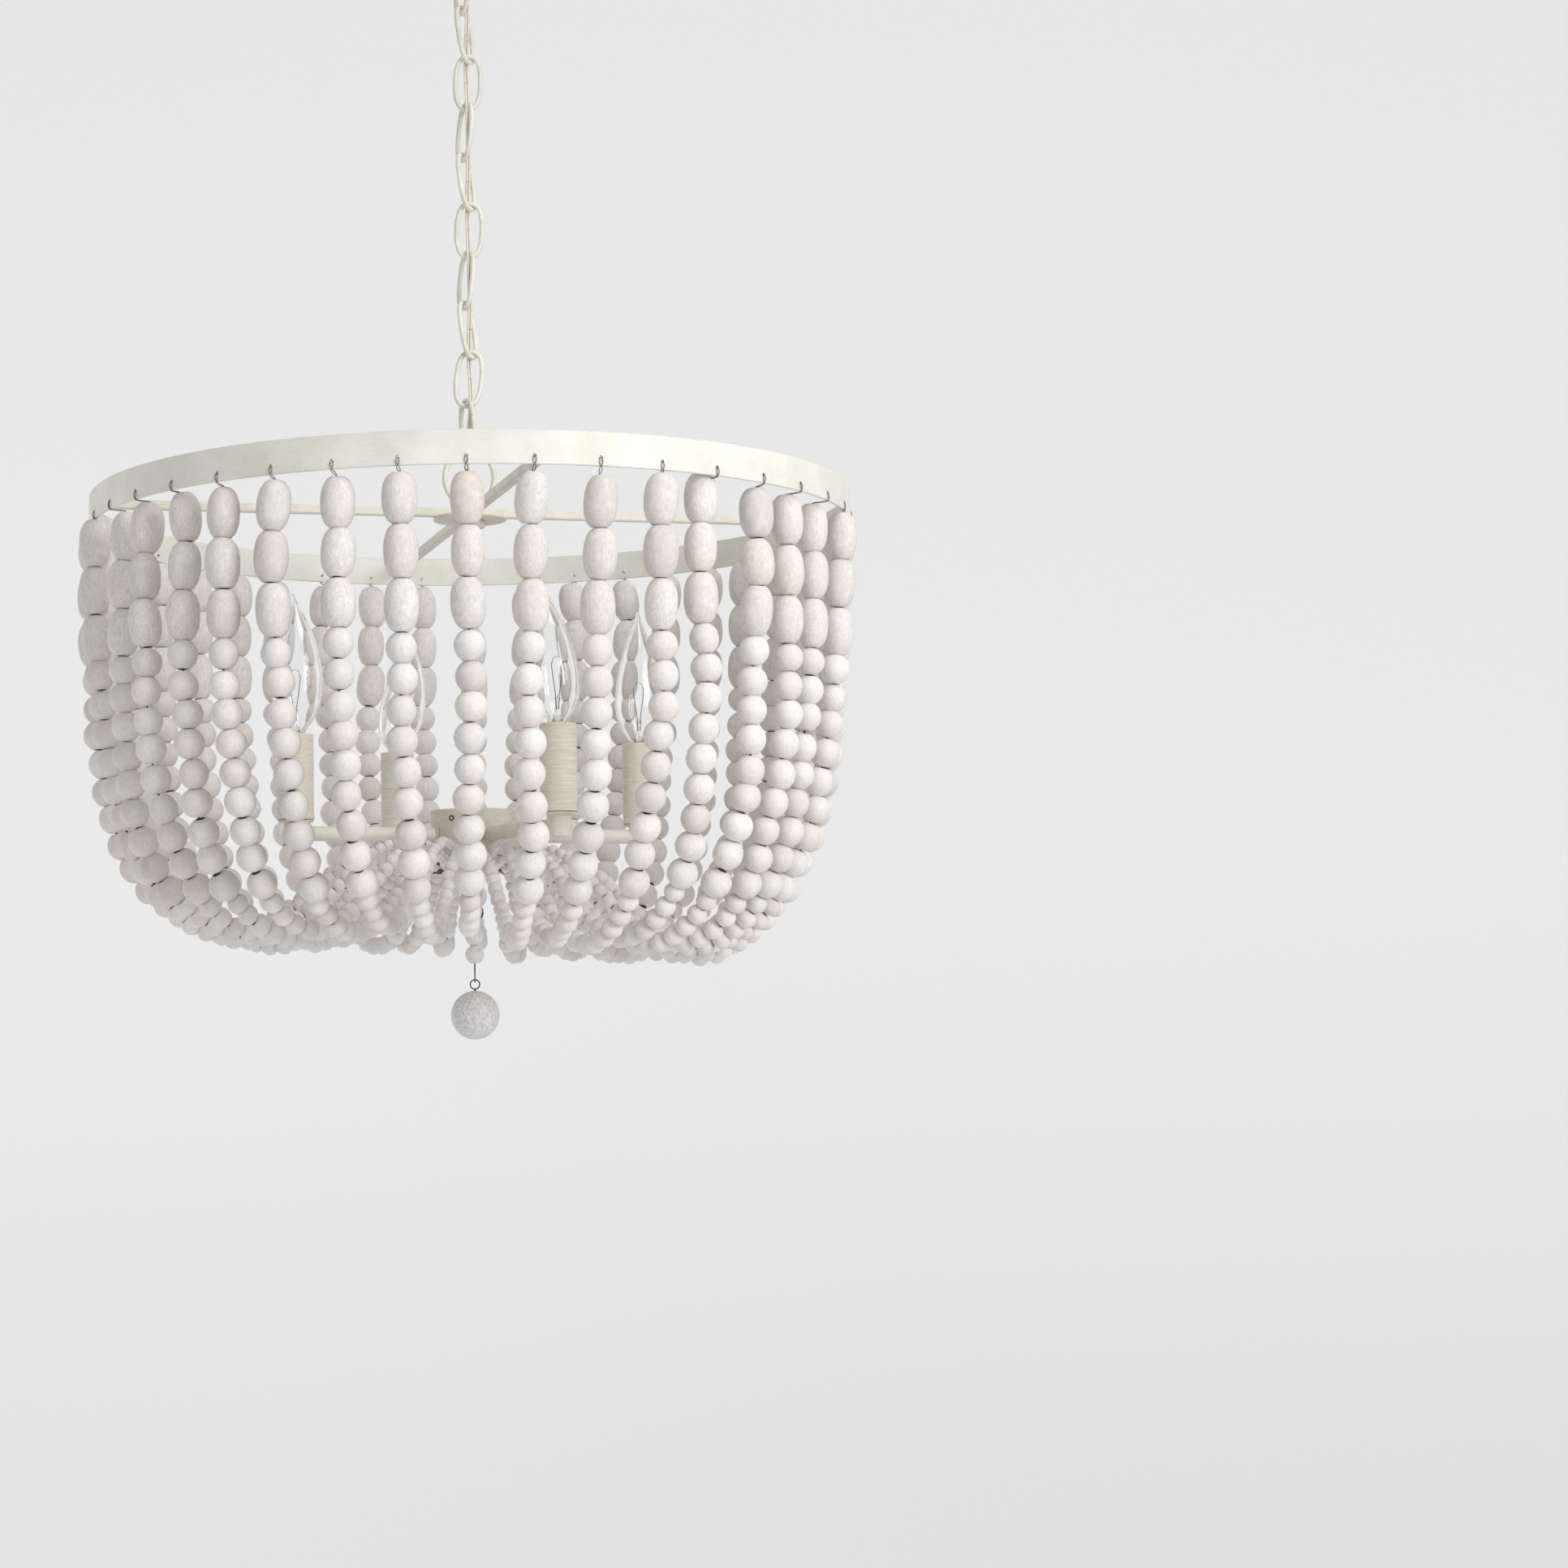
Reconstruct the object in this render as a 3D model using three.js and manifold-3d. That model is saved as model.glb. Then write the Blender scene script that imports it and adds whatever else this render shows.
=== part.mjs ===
// A basket chandelier of wooden beads on a chain. Millimetres, +Z up.
// The origin is the middle of the ceiling fitting, on the ceiling plane. Everything hangs below it.
import * as THREE from 'three';
import { mergeVertices } from 'three/addons/utils/BufferGeometryUtils.js';
import Module from 'manifold-3d';

const wasm = await Module();
wasm.setup();

// Gaps, and how far a cutter passes the faces it cuts
const clearance = 0.3;
const turningGap = 0.5;
const overrun = 2;
const weld = 1e-4;

// Ring band and its drilled hook holes
const bandRadius = 235;
const bandHeight = 19;
const bandWall = 2;
const strandCount = 40;
const hookPhaseDegrees = -0.43;
const hookStepDegrees = 360 / strandCount;
const hookHoleRadius = 1.3;
const hookHoleRise = 4.6;

// Hooks and beads
const hookWireRadius = 0.6;
const hookTipReach = 1.6;
const hookStandOff = 1.4;
const hookNeckRadius = 0.9;
const strandDrop = 5;
const ovalCount = 3;
const ovalLength = 29;
const ovalRadius = 9;
const roundCount = 9;
const straightRounds = 5;
const roundPitch = 16.7;
const roundRadius = 8.5;
const roundTailRadius = 7.4;
const midBeadRadius = 6;
const boreRadius = 2.4;
const stringRadius = 0.8;
const ovalShoulderShare = 0.23;
const ovalFullnessShare = 0.95;

// The strings' sag: distance from the axis as a share of the band's radius, and depth below the hook
// holes as a share of the collector's
const outerSagShares = [
  [0.979, 0.11], [0.976, 0.24], [0.968, 0.42], [0.957, 0.62], [0.937, 0.76], [0.912, 0.89],
  [0.876, 0.99], [0.838, 1.065], [0.79, 1.135], [0.735, 1.185],
];
const upperSagShares = [
  [0.655, 1.213], [0.56, 1.195], [0.465, 1.135], [0.38, 1.05], [0.305, 0.978], [0.24, 0.95],
  [0.178, 0.955],
];
const lowerSagShares = [
  [0.655, 1.23], [0.56, 1.222], [0.465, 1.17], [0.38, 1.085], [0.305, 1.013], [0.24, 0.984],
  [0.178, 0.988],
];
// The basket hangs a little uneven: narrower and deeper one way, wider and shallower the other way
const unevenDegrees = 35;
const unevenWidth = 6;
const unevenDepth = 7;
// The small beads from the rounds to the collector ring: distance along, and radius as a share of the
// first of them
const tailShares = [[0.2, 1], [0.46, 0.9], [0.67, 0.7], [0.84, 0.5]];

// Crossed bars, plate, stem and coupling
const barSize = 5.5;
const barAzimuthDegrees = 12;
const hookBelowBars = 8;
const plateRadius = 23;
const plateThickness = 2;
const studRadius = 4;
const studReach = 8;
const couplingRadius = 9.3;
const couplingHeight = 9;
const couplingNeckRadius = 6.5;
const couplingNeckHeight = 7;
const stemRadius = 4.75;
const stemBite = 9;
const stemCollarRadius = 6.4;
const stemCollarHeight = 3;

// Loops at the two ends of the chain
const loopHalfWidth = 15.45;
const loopHalfHeight = 17.5;
const loopWireRadius = 1.8;
const footRadius = 8;
const footHeight = 5;

// Chain
const linkCount = 10;
const linkHalfWidth = 7.95;
const linkHalfLength = 17.65;
const linkWireRadius = 1.7;
const linkTwistDegrees = -60;
const linkFullnessShare = 0.8;

// Lamp cord
const cordRadius = 1.5;
const cordWeave = 4.9;
const cordFootOffset = 4.9;
const cordSideDegrees = [60, 240];

// Ceiling fitting
const strapLength = 102;
const strapWidth = 16;
const strapThickness = 2.5;
const strapHoleInset = 6.5;
const strapHoleRadius = 2.4;
const canopyRadius = 63.5;
const canopyDepth = 28;
const canopyWall = 1.2;
const canopyRim = 3;
const canopyFlatRadius = 19;
const nippleRadius = 4.8;
const locknutRadius = 9;
const locknutHeight = 3.5;
const nippleInset = 0.6;
const baseRadius = 13;
const baseTop = 21;
const baseBottom = 38;
const collarRadius = 17.5;
const collarHeight = 7.5;
const collarRound = 1.5;

// Hub, arms, cups, sockets and candle sleeves
const hubRadius = 26.5;
const hubHeight = 29;
const hubWall = 2;
const hubTopWall = 2.5;
const hubDepth = 175;
const setScrewRadius = 1.3;
const setScrewDrop = 3.4;
const setScrewAzimuthDegrees = 240;
const armCount = 4;
const armAzimuthDegrees = 25;
const armRadius = 4.5;
const armDrop = 15.6;
const armBite = 4;
const candleCircleRadius = 118;
const cupRadius = 7.25;
const cupHeight = 14.6;
const cupRound = 2;
const cupFlangeRadius = 10.9;
const cupFlangeThickness = 1.2;
const cupRise = 8;
const sleeveRadius = 11;
const sleeveWall = 1.2;
const sleeveHeight = 51.5;
const sleeveLip = 0.6;
const sleeveLipHeight = 2.4;
const socketRadius = 8.6;
const socketBoreRadius = 7.6;
const socketInset = 5;
const socketBoreDepth = 22;

// Bulb: a bent-tip candle shape, as shares of the glass height and radius
const glassHeight = 82;
const glassRadius = 15;
const bulbBaseRadius = 6.2;
const bulbBaseLength = 20;
const bulbBend = 5.5;
const bendFromShare = 0.5;
const glassShares = [
  [0, 0.42], [0.14, 0.8], [0.32, 1], [0.48, 0.92], [0.66, 0.66], [0.84, 0.3], [1, 0.06],
];
const bulbBendDegrees = [-90, 60, 180, 180];

// Collector under the hub, and the finial that hangs from it
const collectorRadius = 23;
const collectorWireRadius = 1.25;
const loopSlack = 0.95;
const rimStandOff = 2;
const collectorDrop = 4.6;
const collectorPosts = 5;
const coverThickness = 1.5;
const coverBossRadius = 6;
const coverBossHeight = 8;
const pinRadius = 2;
const pinLength = 15.6;
const eyeRadius = 3.2;
const eyeWireRadius = 0.9;
const finialRingRadius = 5.2;
const finialWireRadius = 0.8;
const finialBeadRadius = 5.75;
const finialBeadNeck = 3.6;
const finialBeadSpacing = 0.35;
const finialBeadFlatShare = 0.3;
const finialEyeRadius = 2.6;
const finialRingStem = 2.9;
const finialWireLength = 6.7;
const ballRadius = 15;
const ballEyeRadius = 2.4;
const ballEyeStem = 2;

// Facets round each kind of round piece
const facets = { canopy: 12, turned: 10, sleeve: 8, small: 6, square: 4 };
const loopSteps = 12;
const eyeSteps = 8;
const linkSteps = 12;

// Levels, worked out from the ceiling down
const jointStep = linkWireRadius * 2 + clearance;
const loopStep = linkWireRadius + loopWireRadius + clearance;
const linkPitch = linkHalfLength * 2 - jointStep;
const canopyLoopCentreZ = -baseBottom - loopHalfHeight;
const topJointZ = canopyLoopCentreZ - loopHalfHeight;
const firstLinkZ = topJointZ + loopStep - linkHalfLength;
const lastLinkZ = firstLinkZ - linkPitch * (linkCount - 1);
const bottomJointZ = lastLinkZ - linkHalfLength;
const frameLoopCentreZ = bottomJointZ + loopStep - loopHalfHeight;
const footTopZ = frameLoopCentreZ - loopHalfHeight;
const barTopZ = footTopZ - footHeight - clearance;
const barZ = barTopZ - barSize / 2;
const hookZ = barZ - hookBelowBars;
const plateBottomZ = barZ - barSize / 2 - plateThickness;
const couplingTopZ = plateBottomZ - clearance;
const couplingBottomZ = couplingTopZ - couplingHeight - couplingNeckHeight;
const hubTopZ = hookZ - hubDepth;
const hubBottomZ = hubTopZ - hubHeight;
const armZ = hubTopZ - armDrop;
const cupTopZ = armZ + cupRise;
const sleeveBottomZ = cupTopZ + clearance;
const sleeveTopZ = sleeveBottomZ + sleeveHeight;
const coverTopZ = hubBottomZ - clearance;
const coverBottomZ = coverTopZ - coverThickness;
const collectorZ = coverBottomZ - collectorDrop;
const pinBottomZ = coverBottomZ - coverBossHeight - pinLength;
const eyeZ = pinBottomZ - eyeRadius;
const dropJointZ = eyeZ - eyeRadius;
const eyeStep = eyeWireRadius + finialWireRadius + clearance;
const finialRingZ = dropJointZ + eyeStep - finialRingRadius;
const beadTopZ = finialRingZ - finialRingRadius - finialWireRadius - finialRingStem;
const beadPitch = finialBeadRadius * 2 - finialBeadSpacing;
const beadBottomZ = beadTopZ - beadPitch * 2;
const finialEyeZ = beadBottomZ - finialWireLength - finialEyeRadius;
const ballJointZ = finialEyeZ - finialEyeRadius;
const ballEyeZ = ballJointZ + finialWireRadius * 2 + clearance - ballEyeRadius;
const ballZ = ballEyeZ - ballEyeRadius - ballEyeStem - ballRadius;
const stringTurnRadius = collectorWireRadius + stringRadius + loopSlack;
const strandRadius = bandRadius + bandWall / 2 + hookStandOff;
const stringRimRadius = hubRadius + rimStandOff;

const radians = THREE.MathUtils.degToRad;
const fullTurn = Math.PI * 2;
const up = new THREE.Vector3(0, 0, 1);
const acrossY = new THREE.Vector3(0, 1, 0);
const acrossX = new THREE.Vector3(1, 0, 0);

// The radius of a facetted hole whose flats clear a round piece by a gap
const holeRound = (radius, gap, sides) => (radius + gap) / Math.cos(Math.PI / sides);

// Materials
const finish = (color, roughness) => new THREE.MeshStandardMaterial({ color, roughness });
const paintedSteel = () => finish(0xe6e3d6, 0.6);
const beadWood = () => finish(0xddd8d2, 0.75);
const sleevePaint = () => finish(0xe2dcc6, 0.65);
const clearGlass = () => finish(0xf2f4f4, 0.05);
const cordJacket = () => finish(0xe9e5da, 0.5);
const socketShell = () => finish(0xb9b4a8, 0.6);

// A solid from a geometry's triangles, with those that shrank to a line left out
function solid(geometry) {
  geometry.deleteAttribute('normal');
  geometry.deleteAttribute('uv');
  const welded = mergeVertices(geometry, weld);
  const corners = [];
  for (let i = 0; i < welded.index.count; i += 3) {
    const [a, b, c] = [0, 1, 2].map((k) => welded.index.getX(i + k));
    if (a !== b && b !== c && c !== a) corners.push(a, b, c);
  }
  return new wasm.Manifold(new wasm.Mesh({
    numProp: 3,
    vertProperties: new Float32Array(welded.attributes.position.array),
    triVerts: Uint32Array.from(corners),
  }));
}

const joined = (...geometries) => geometries.map(solid).reduce((a, b) => a.add(b));
const cut = (body, ...tools) => tools.map(solid).reduce((a, b) => a.subtract(b), body);

function geometryOf(body) {
  const mesh = body.getMesh();
  const geometry = new THREE.BufferGeometry();
  const places = [];
  for (let i = 0; i < mesh.vertProperties.length; i += mesh.numProp) {
    places.push(...mesh.vertProperties.slice(i, i + 3));
  }
  geometry.setAttribute('position', new THREE.Float32BufferAttribute(places, 3));
  geometry.setIndex(Array.from(mesh.triVerts));
  geometry.computeVertexNormals();
  return geometry;
}

// A turned piece: an outline of [radius, height] from the bottom up the outside, round the Z axis
function turned(outline, sides, startDegrees = 0) {
  const points = outline.map(([r, z]) => new THREE.Vector2(r, z));
  const geometry = new THREE.LatheGeometry(points, sides, radians(startDegrees), fullTurn);
  return geometry.rotateX(Math.PI / 2);
}

const drum = (radius, bottom, top, sides, startDegrees) =>
  turned([[0, bottom], [radius, bottom], [radius, top], [0, top]], sides, startDegrees);

// A cutter or peg along +X from one distance to another
const radialPeg = (radius, from, to, height, sides) =>
  new THREE.CylinderGeometry(radius, radius, to - from, sides)
    .rotateZ(-Math.PI / 2)
    .translate((from + to) / 2, 0, height);

// One ring of a loft: corners round a centre, square to the way the loft runs
function section(centre, along, across, radius, sides) {
  const normal = along.clone().cross(across).normalize();
  const side = normal.clone().cross(along).normalize();
  return Array.from({ length: sides }, (_, k) => {
    const angle = (fullTurn * k) / sides;
    return centre.clone()
      .addScaledVector(side, radius * Math.cos(angle))
      .addScaledVector(normal, radius * Math.sin(angle));
  });
}

// A closed skin over a row of rings, capped at both ends or joined end to end
function lofted(rings, closed = false) {
  const sides = rings[0].length;
  const places = rings.flat().flatMap((p) => [p.x, p.y, p.z]);
  const index = [];
  const steps = closed ? rings.length : rings.length - 1;
  for (let i = 0; i < steps; i++) {
    const next = (i + 1) % rings.length;
    for (let k = 0; k < sides; k++) {
      const far = (k + 1) % sides;
      const [a, b] = [i * sides + k, i * sides + far];
      const [c, d] = [next * sides + k, next * sides + far];
      index.push(a, b, d, a, d, c);
    }
  }
  if (!closed) {
    const last = (rings.length - 1) * sides;
    for (let k = 1; k < sides - 1; k++) {
      index.push(0, k + 1, k, last, last + k, last + k + 1);
    }
  }
  const geometry = new THREE.BufferGeometry();
  geometry.setAttribute('position', new THREE.Float32BufferAttribute(places, 3));
  geometry.setIndex(index);
  geometry.computeVertexNormals();
  return geometry;
}

// A ring of wire in the XZ plane, through the points of a closed path
function wireRing(points, wireRadius) {
  const rings = points.map((p, i) => {
    const before = points[(i + points.length - 1) % points.length];
    const after = points[(i + 1) % points.length];
    const along = after.clone().sub(before).normalize();
    return section(p, along, acrossY, wireRadius, facets.square);
  });
  return lofted(rings, true);
}

// An oval path with a short flat across its top and its bottom, where the next piece hangs
const ovalPath = (halfWidth, halfHeight, steps) =>
  Array.from({ length: steps }, (_, i) => {
    const angle = (fullTurn * (i + 0.5)) / steps;
    const height = halfHeight / Math.cos(Math.PI / steps);
    return new THREE.Vector3(halfWidth * Math.sin(angle), 0, -height * Math.cos(angle));
  });

const eyeRing = (radius, wireRadius) => wireRing(ovalPath(radius, radius, eyeSteps), wireRadius);

// The chain link's outline: a long oval, fuller than an ellipse, with a short flat at each end
function linkPath() {
  const fuller = (value) => Math.sign(value) * Math.abs(value) ** linkFullnessShare;
  const rise = linkHalfLength / fuller(Math.cos(Math.PI / linkSteps));
  return Array.from({ length: linkSteps }, (_, i) => {
    const angle = (fullTurn * (i + 0.5)) / linkSteps;
    return new THREE.Vector3(
      linkHalfWidth * fuller(Math.sin(angle)), 0, -rise * fuller(Math.cos(angle)));
  });
}

const chandelier = new THREE.Group();

function place(name, geometry, material, { at = [0, 0, 0], turnDegrees = 0 } = {}) {
  const mesh = new THREE.Mesh(geometry, material);
  mesh.name = name;
  mesh.position.set(...at);
  mesh.rotation.z = radians(turnDegrees);
  chandelier.add(mesh);
}

const numbered = (name, i) => `${name}_${String(i + 1).padStart(2, '0')}`;

// Ceiling strap, with holes for the box screws and for the nipple
function ceilingStrap() {
  const bar = new THREE.BoxGeometry(strapLength, strapWidth, strapThickness)
    .translate(0, 0, -strapThickness / 2);
  const bottom = -strapThickness - overrun;
  const holeReach = strapLength / 2 - strapHoleInset;
  const nippleHole = drum(
    holeRound(nippleRadius, clearance, facets.small), bottom, overrun, facets.small);
  const screwHoles = [-1, 1].map((side) =>
    drum(strapHoleRadius, bottom, overrun, facets.small).translate(side * holeReach, 0, 0));
  return geometryOf(cut(solid(bar), nippleHole, ...screwHoles));
}

// Canopy: a spun dome, open at the ceiling and round the loop's base
function canopy() {
  const arcSteps = 3;
  const hole = holeRound(baseRadius, clearance, facets.canopy);
  const shell = (radius, depth) => Array.from({ length: arcSteps + 1 }, (_, i) => {
    const angle = (Math.PI / 2) * (i / arcSteps);
    return [
      canopyFlatRadius + (radius - canopyFlatRadius) * Math.sin(angle),
      -canopyRim - (depth - canopyRim) * Math.cos(angle),
    ];
  });
  const outside = shell(canopyRadius, canopyDepth);
  const inside = shell(canopyRadius - canopyWall, canopyDepth - canopyWall).reverse();
  const outline = [
    [hole, -canopyDepth], ...outside, [canopyRadius, 0], [canopyRadius - canopyWall, 0],
    ...inside, [hole, -canopyDepth + canopyWall], [hole, -canopyDepth],
  ];
  return turned(outline, facets.canopy);
}

// Canopy loop: nipple, locknut, threaded base and the loop that the chain hangs on
function canopyLoop() {
  const nutTop = -strapThickness - clearance;
  const loop = wireRing(ovalPath(loopHalfWidth, loopHalfHeight, loopSteps), loopWireRadius)
    .translate(0, 0, canopyLoopCentreZ);
  return geometryOf(joined(
    drum(nippleRadius, -baseTop - overrun, -nippleInset, facets.small),
    drum(locknutRadius, nutTop - locknutHeight, nutTop, facets.small),
    drum(baseRadius, -baseBottom, -baseTop, facets.canopy),
    loop,
  ));
}

// Screw collar: it turns on the base and holds the canopy up
function canopyCollar() {
  const bore = holeRound(baseRadius, turningGap, facets.canopy);
  const top = -canopyDepth - clearance;
  const bottom = top - collarHeight;
  return turned([
    [bore, bottom], [collarRadius - collarRound, bottom], [collarRadius, bottom + collarRound],
    [collarRadius, top], [bore, top], [bore, bottom],
  ], facets.canopy);
}

// Lamp cord: it passes each pair of linked wires on its open side, and so weaves through every link
function lampCord() {
  const pass = (joint) => {
    const side = cordSideDegrees[joint % 2];
    const degrees = joint === linkCount ? cordSideDegrees[1] : linkTwistDegrees * joint + side;
    const level = joint === 0 ? topJointZ : firstLinkZ - linkHalfLength - linkPitch * (joint - 1);
    return new THREE.Vector3(
      cordWeave * Math.cos(radians(degrees)), cordWeave * Math.sin(radians(degrees)),
      level + jointStep / 2,
    );
  };
  const passes = Array.from({ length: linkCount + 1 }, (_, i) => pass(i));
  const loopSpan = loopHalfHeight * 2;
  const route = new THREE.CatmullRomCurve3([
    new THREE.Vector3(0, cordFootOffset, -baseBottom - clearance),
    new THREE.Vector3(0, cordFootOffset, -baseBottom - loopSpan / 4),
    ...passes,
    new THREE.Vector3(0, -cordFootOffset, footTopZ + loopSpan / 4),
    new THREE.Vector3(0, -cordFootOffset, footTopZ + clearance),
  ], false, 'centripetal');
  const steps = (linkCount + 2) * 3;
  const rings = Array.from({ length: steps + 1 }, (_, i) => {
    const along = i === 0 || i === steps ? up.clone().negate() : route.getTangentAt(i / steps);
    return section(route.getPointAt(i / steps), along, acrossX, cordRadius, facets.square);
  });
  return lofted(rings);
}

// Frame loop: its foot sits on the crossed bars and its stud runs down into the coupling
function frameLoop() {
  const loop = wireRing(ovalPath(loopHalfWidth, loopHalfHeight, loopSteps), loopWireRadius)
    .translate(0, 0, frameLoopCentreZ);
  return geometryOf(joined(
    loop,
    drum(footRadius, footTopZ - footHeight, footTopZ, facets.turned),
    drum(studRadius, couplingTopZ - studReach, footTopZ - footHeight / 2, facets.small),
  ));
}

// Crossed square bars, welded over a round plate
function crossedBars() {
  const length = (bandRadius - bandWall / 2 - clearance) * 2;
  const bar = () => new THREE.BoxGeometry(length, barSize, barSize).translate(0, 0, barZ);
  const plate = drum(plateRadius, plateBottomZ, plateBottomZ + plateThickness, facets.canopy);
  const studHole = drum(
    holeRound(studRadius, clearance, facets.small), plateBottomZ - overrun, barTopZ + overrun, facets.small);
  return geometryOf(cut(joined(bar(), bar().rotateZ(Math.PI / 2), plate), studHole));
}

// Ring band: a flat strip rolled to a circle, one flat for each hook hole
function ringBand() {
  const bottom = hookZ - hookHoleRise;
  const corner = (radius) => radius / Math.cos(Math.PI / strandCount);
  const outer = corner(bandRadius + bandWall / 2);
  const inner = corner(bandRadius - bandWall / 2);
  const strip = turned([
    [inner, bottom], [outer, bottom], [outer, bottom + bandHeight], [inner, bottom + bandHeight],
    [inner, bottom],
  ], strandCount, hookPhaseDegrees + hookStepDegrees / 2 + 90);
  const holes = Array.from({ length: strandCount }, (_, i) =>
    radialPeg(hookHoleRadius, bandRadius - overrun, bandRadius + overrun, hookZ, facets.square)
      .rotateZ(radians(hookPhaseDegrees + hookStepDegrees * i)));
  return geometryOf(cut(solid(strip), ...holes));
}

// Coupling nut under the plate: it takes the loop's stud above and the stem below
function stemCoupling() {
  const bore = holeRound(studRadius, clearance, facets.small);
  const seat = couplingTopZ - studReach - clearance;
  const socket = holeRound(stemRadius, clearance, facets.small);
  const body = joined(
    drum(couplingRadius, couplingTopZ - couplingHeight, couplingTopZ, facets.turned),
    drum(couplingNeckRadius, couplingBottomZ, couplingTopZ - couplingHeight / 2, facets.turned),
  );
  return geometryOf(cut(body,
    drum(bore, seat, couplingTopZ + overrun, facets.small),
    drum(socket, couplingBottomZ - overrun, couplingBottomZ + couplingNeckHeight / 2, facets.small)));
}

// Stem: a tube with a collar that stands on the hub and a tenon that goes into it
function stem() {
  const top = couplingBottomZ + couplingNeckHeight / 2 - clearance;
  const collarBottom = hubTopZ + clearance;
  return turned([
    [0, hubTopZ - stemBite], [stemRadius, hubTopZ - stemBite], [stemRadius, collarBottom],
    [stemCollarRadius, collarBottom], [stemCollarRadius, collarBottom + stemCollarHeight],
    [stemRadius, collarBottom + stemCollarHeight], [stemRadius, top], [0, top],
  ], facets.small);
}

const armDegrees = (i) => armAzimuthDegrees + (360 / armCount) * i;

// Hub: an open-bottomed drum with holes for the stem, the arms and the set screw
function hub() {
  const shell = turned([
    [hubRadius - hubWall, hubBottomZ], [hubRadius, hubBottomZ], [hubRadius, hubTopZ],
    [0, hubTopZ], [0, hubTopZ - hubTopWall], [hubRadius - hubWall, hubTopZ - hubTopWall],
    [hubRadius - hubWall, hubBottomZ],
  ], facets.canopy, armAzimuthDegrees + 90 + 180 / facets.canopy);
  const wallPeg = (radius, height, degrees) =>
    radialPeg(radius, hubRadius - hubWall - overrun, hubRadius + overrun, height, facets.small)
      .rotateZ(radians(degrees));
  const armHoles = Array.from({ length: armCount }, (_, i) =>
    wallPeg(holeRound(armRadius, clearance, facets.small), armZ, armDegrees(i)));
  return geometryOf(cut(solid(shell),
    drum(holeRound(stemRadius, clearance, facets.small), hubTopZ - hubTopWall - overrun,
      hubTopZ + overrun, facets.small),
    wallPeg(setScrewRadius, hubTopZ - hubTopWall - setScrewDrop, setScrewAzimuthDegrees),
    ...armHoles));
}

// Arm: a straight tube from the hub into the side of its cup, with the flange that the sleeve stands on
function arm() {
  const cupBottom = cupTopZ - cupHeight;
  const cup = turned([
    [0, cupBottom], [cupRadius - cupRound, cupBottom], [cupRadius, cupBottom + cupRound],
    [cupRadius, cupTopZ - cupFlangeThickness], [cupFlangeRadius, cupTopZ - cupFlangeThickness],
    [cupFlangeRadius, cupTopZ], [0, cupTopZ],
  ], facets.small).translate(candleCircleRadius, 0, 0);
  return geometryOf(joined(
    radialPeg(armRadius, hubRadius - hubWall - armBite, candleCircleRadius, armZ, facets.small), cup));
}

const onCandle = (i) => {
  const angle = radians(armDegrees(i));
  return [candleCircleRadius * Math.cos(angle), candleCircleRadius * Math.sin(angle), 0];
};

// Socket: a cup-shaped lamp holder, hidden in the sleeve
function socket() {
  const top = sleeveTopZ - socketInset;
  return turned([
    [0, sleeveBottomZ], [socketRadius, sleeveBottomZ], [socketRadius, top], [socketBoreRadius, top],
    [socketBoreRadius, top - socketBoreDepth], [0, top - socketBoreDepth],
  ], facets.small);
}

// Candle sleeve: a card tube with a slightly flared foot
function candleSleeve() {
  const inner = sleeveRadius - sleeveWall;
  return turned([
    [inner, sleeveBottomZ], [sleeveRadius + sleeveLip, sleeveBottomZ],
    [sleeveRadius, sleeveBottomZ + sleeveLipHeight], [sleeveRadius, sleeveTopZ],
    [inner, sleeveTopZ], [inner, sleeveBottomZ],
  ], facets.sleeve);
}

// Bulb: screw base, then the glass, whose drawn-out tip leans along +X
function bulb() {
  const rim = sleeveTopZ - socketInset + clearance;
  const rows = [[rim - bulbBaseLength, bulbBaseRadius, 0], [rim, bulbBaseRadius, 0]];
  for (const [heightShare, radiusShare] of glassShares) {
    const lean = Math.max(0, heightShare - bendFromShare) / (1 - bendFromShare);
    rows.push([
      sleeveTopZ + clearance + glassHeight * heightShare, glassRadius * radiusShare,
      bulbBend * lean * lean,
    ]);
  }
  return lofted(rows.map(([z, radius, x]) =>
    section(new THREE.Vector3(x, 0, z), up, acrossY, radius, facets.small)));
}

// Collector: the hub's cover, a ring on posts for the strings, and the eye that carries the finial
function strandCollector() {
  const posts = Array.from({ length: collectorPosts }, (_, i) =>
    drum(collectorWireRadius, collectorZ, coverTopZ - coverThickness / 2, facets.square)
      .translate(collectorRadius, 0, 0)
      .rotateZ(radians(hookPhaseDegrees - hookStepDegrees / 2 + (360 / collectorPosts) * i)));
  const bossBottom = coverBottomZ - coverBossHeight;
  const ring = turned([
    [collectorRadius - collectorWireRadius, collectorZ], [collectorRadius, collectorZ - collectorWireRadius],
    [collectorRadius + collectorWireRadius, collectorZ], [collectorRadius, collectorZ + collectorWireRadius],
    [collectorRadius - collectorWireRadius, collectorZ],
  ], strandCount / 2, hookPhaseDegrees + 90);
  const body = joined(
    drum(hubRadius, coverBottomZ, coverTopZ, facets.canopy, armAzimuthDegrees + 90 + 180 / facets.canopy),
    drum(coverBossRadius, bossBottom, coverBottomZ + coverThickness / 2, facets.small),
    drum(pinRadius, pinBottomZ - eyeWireRadius, bossBottom + coverBossHeight / 2, facets.small),
    eyeRing(eyeRadius, eyeWireRadius).rotateZ(Math.PI / 2).translate(0, 0, eyeZ),
    ring,
    ...posts,
  );
  return geometryOf(body);
}

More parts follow.
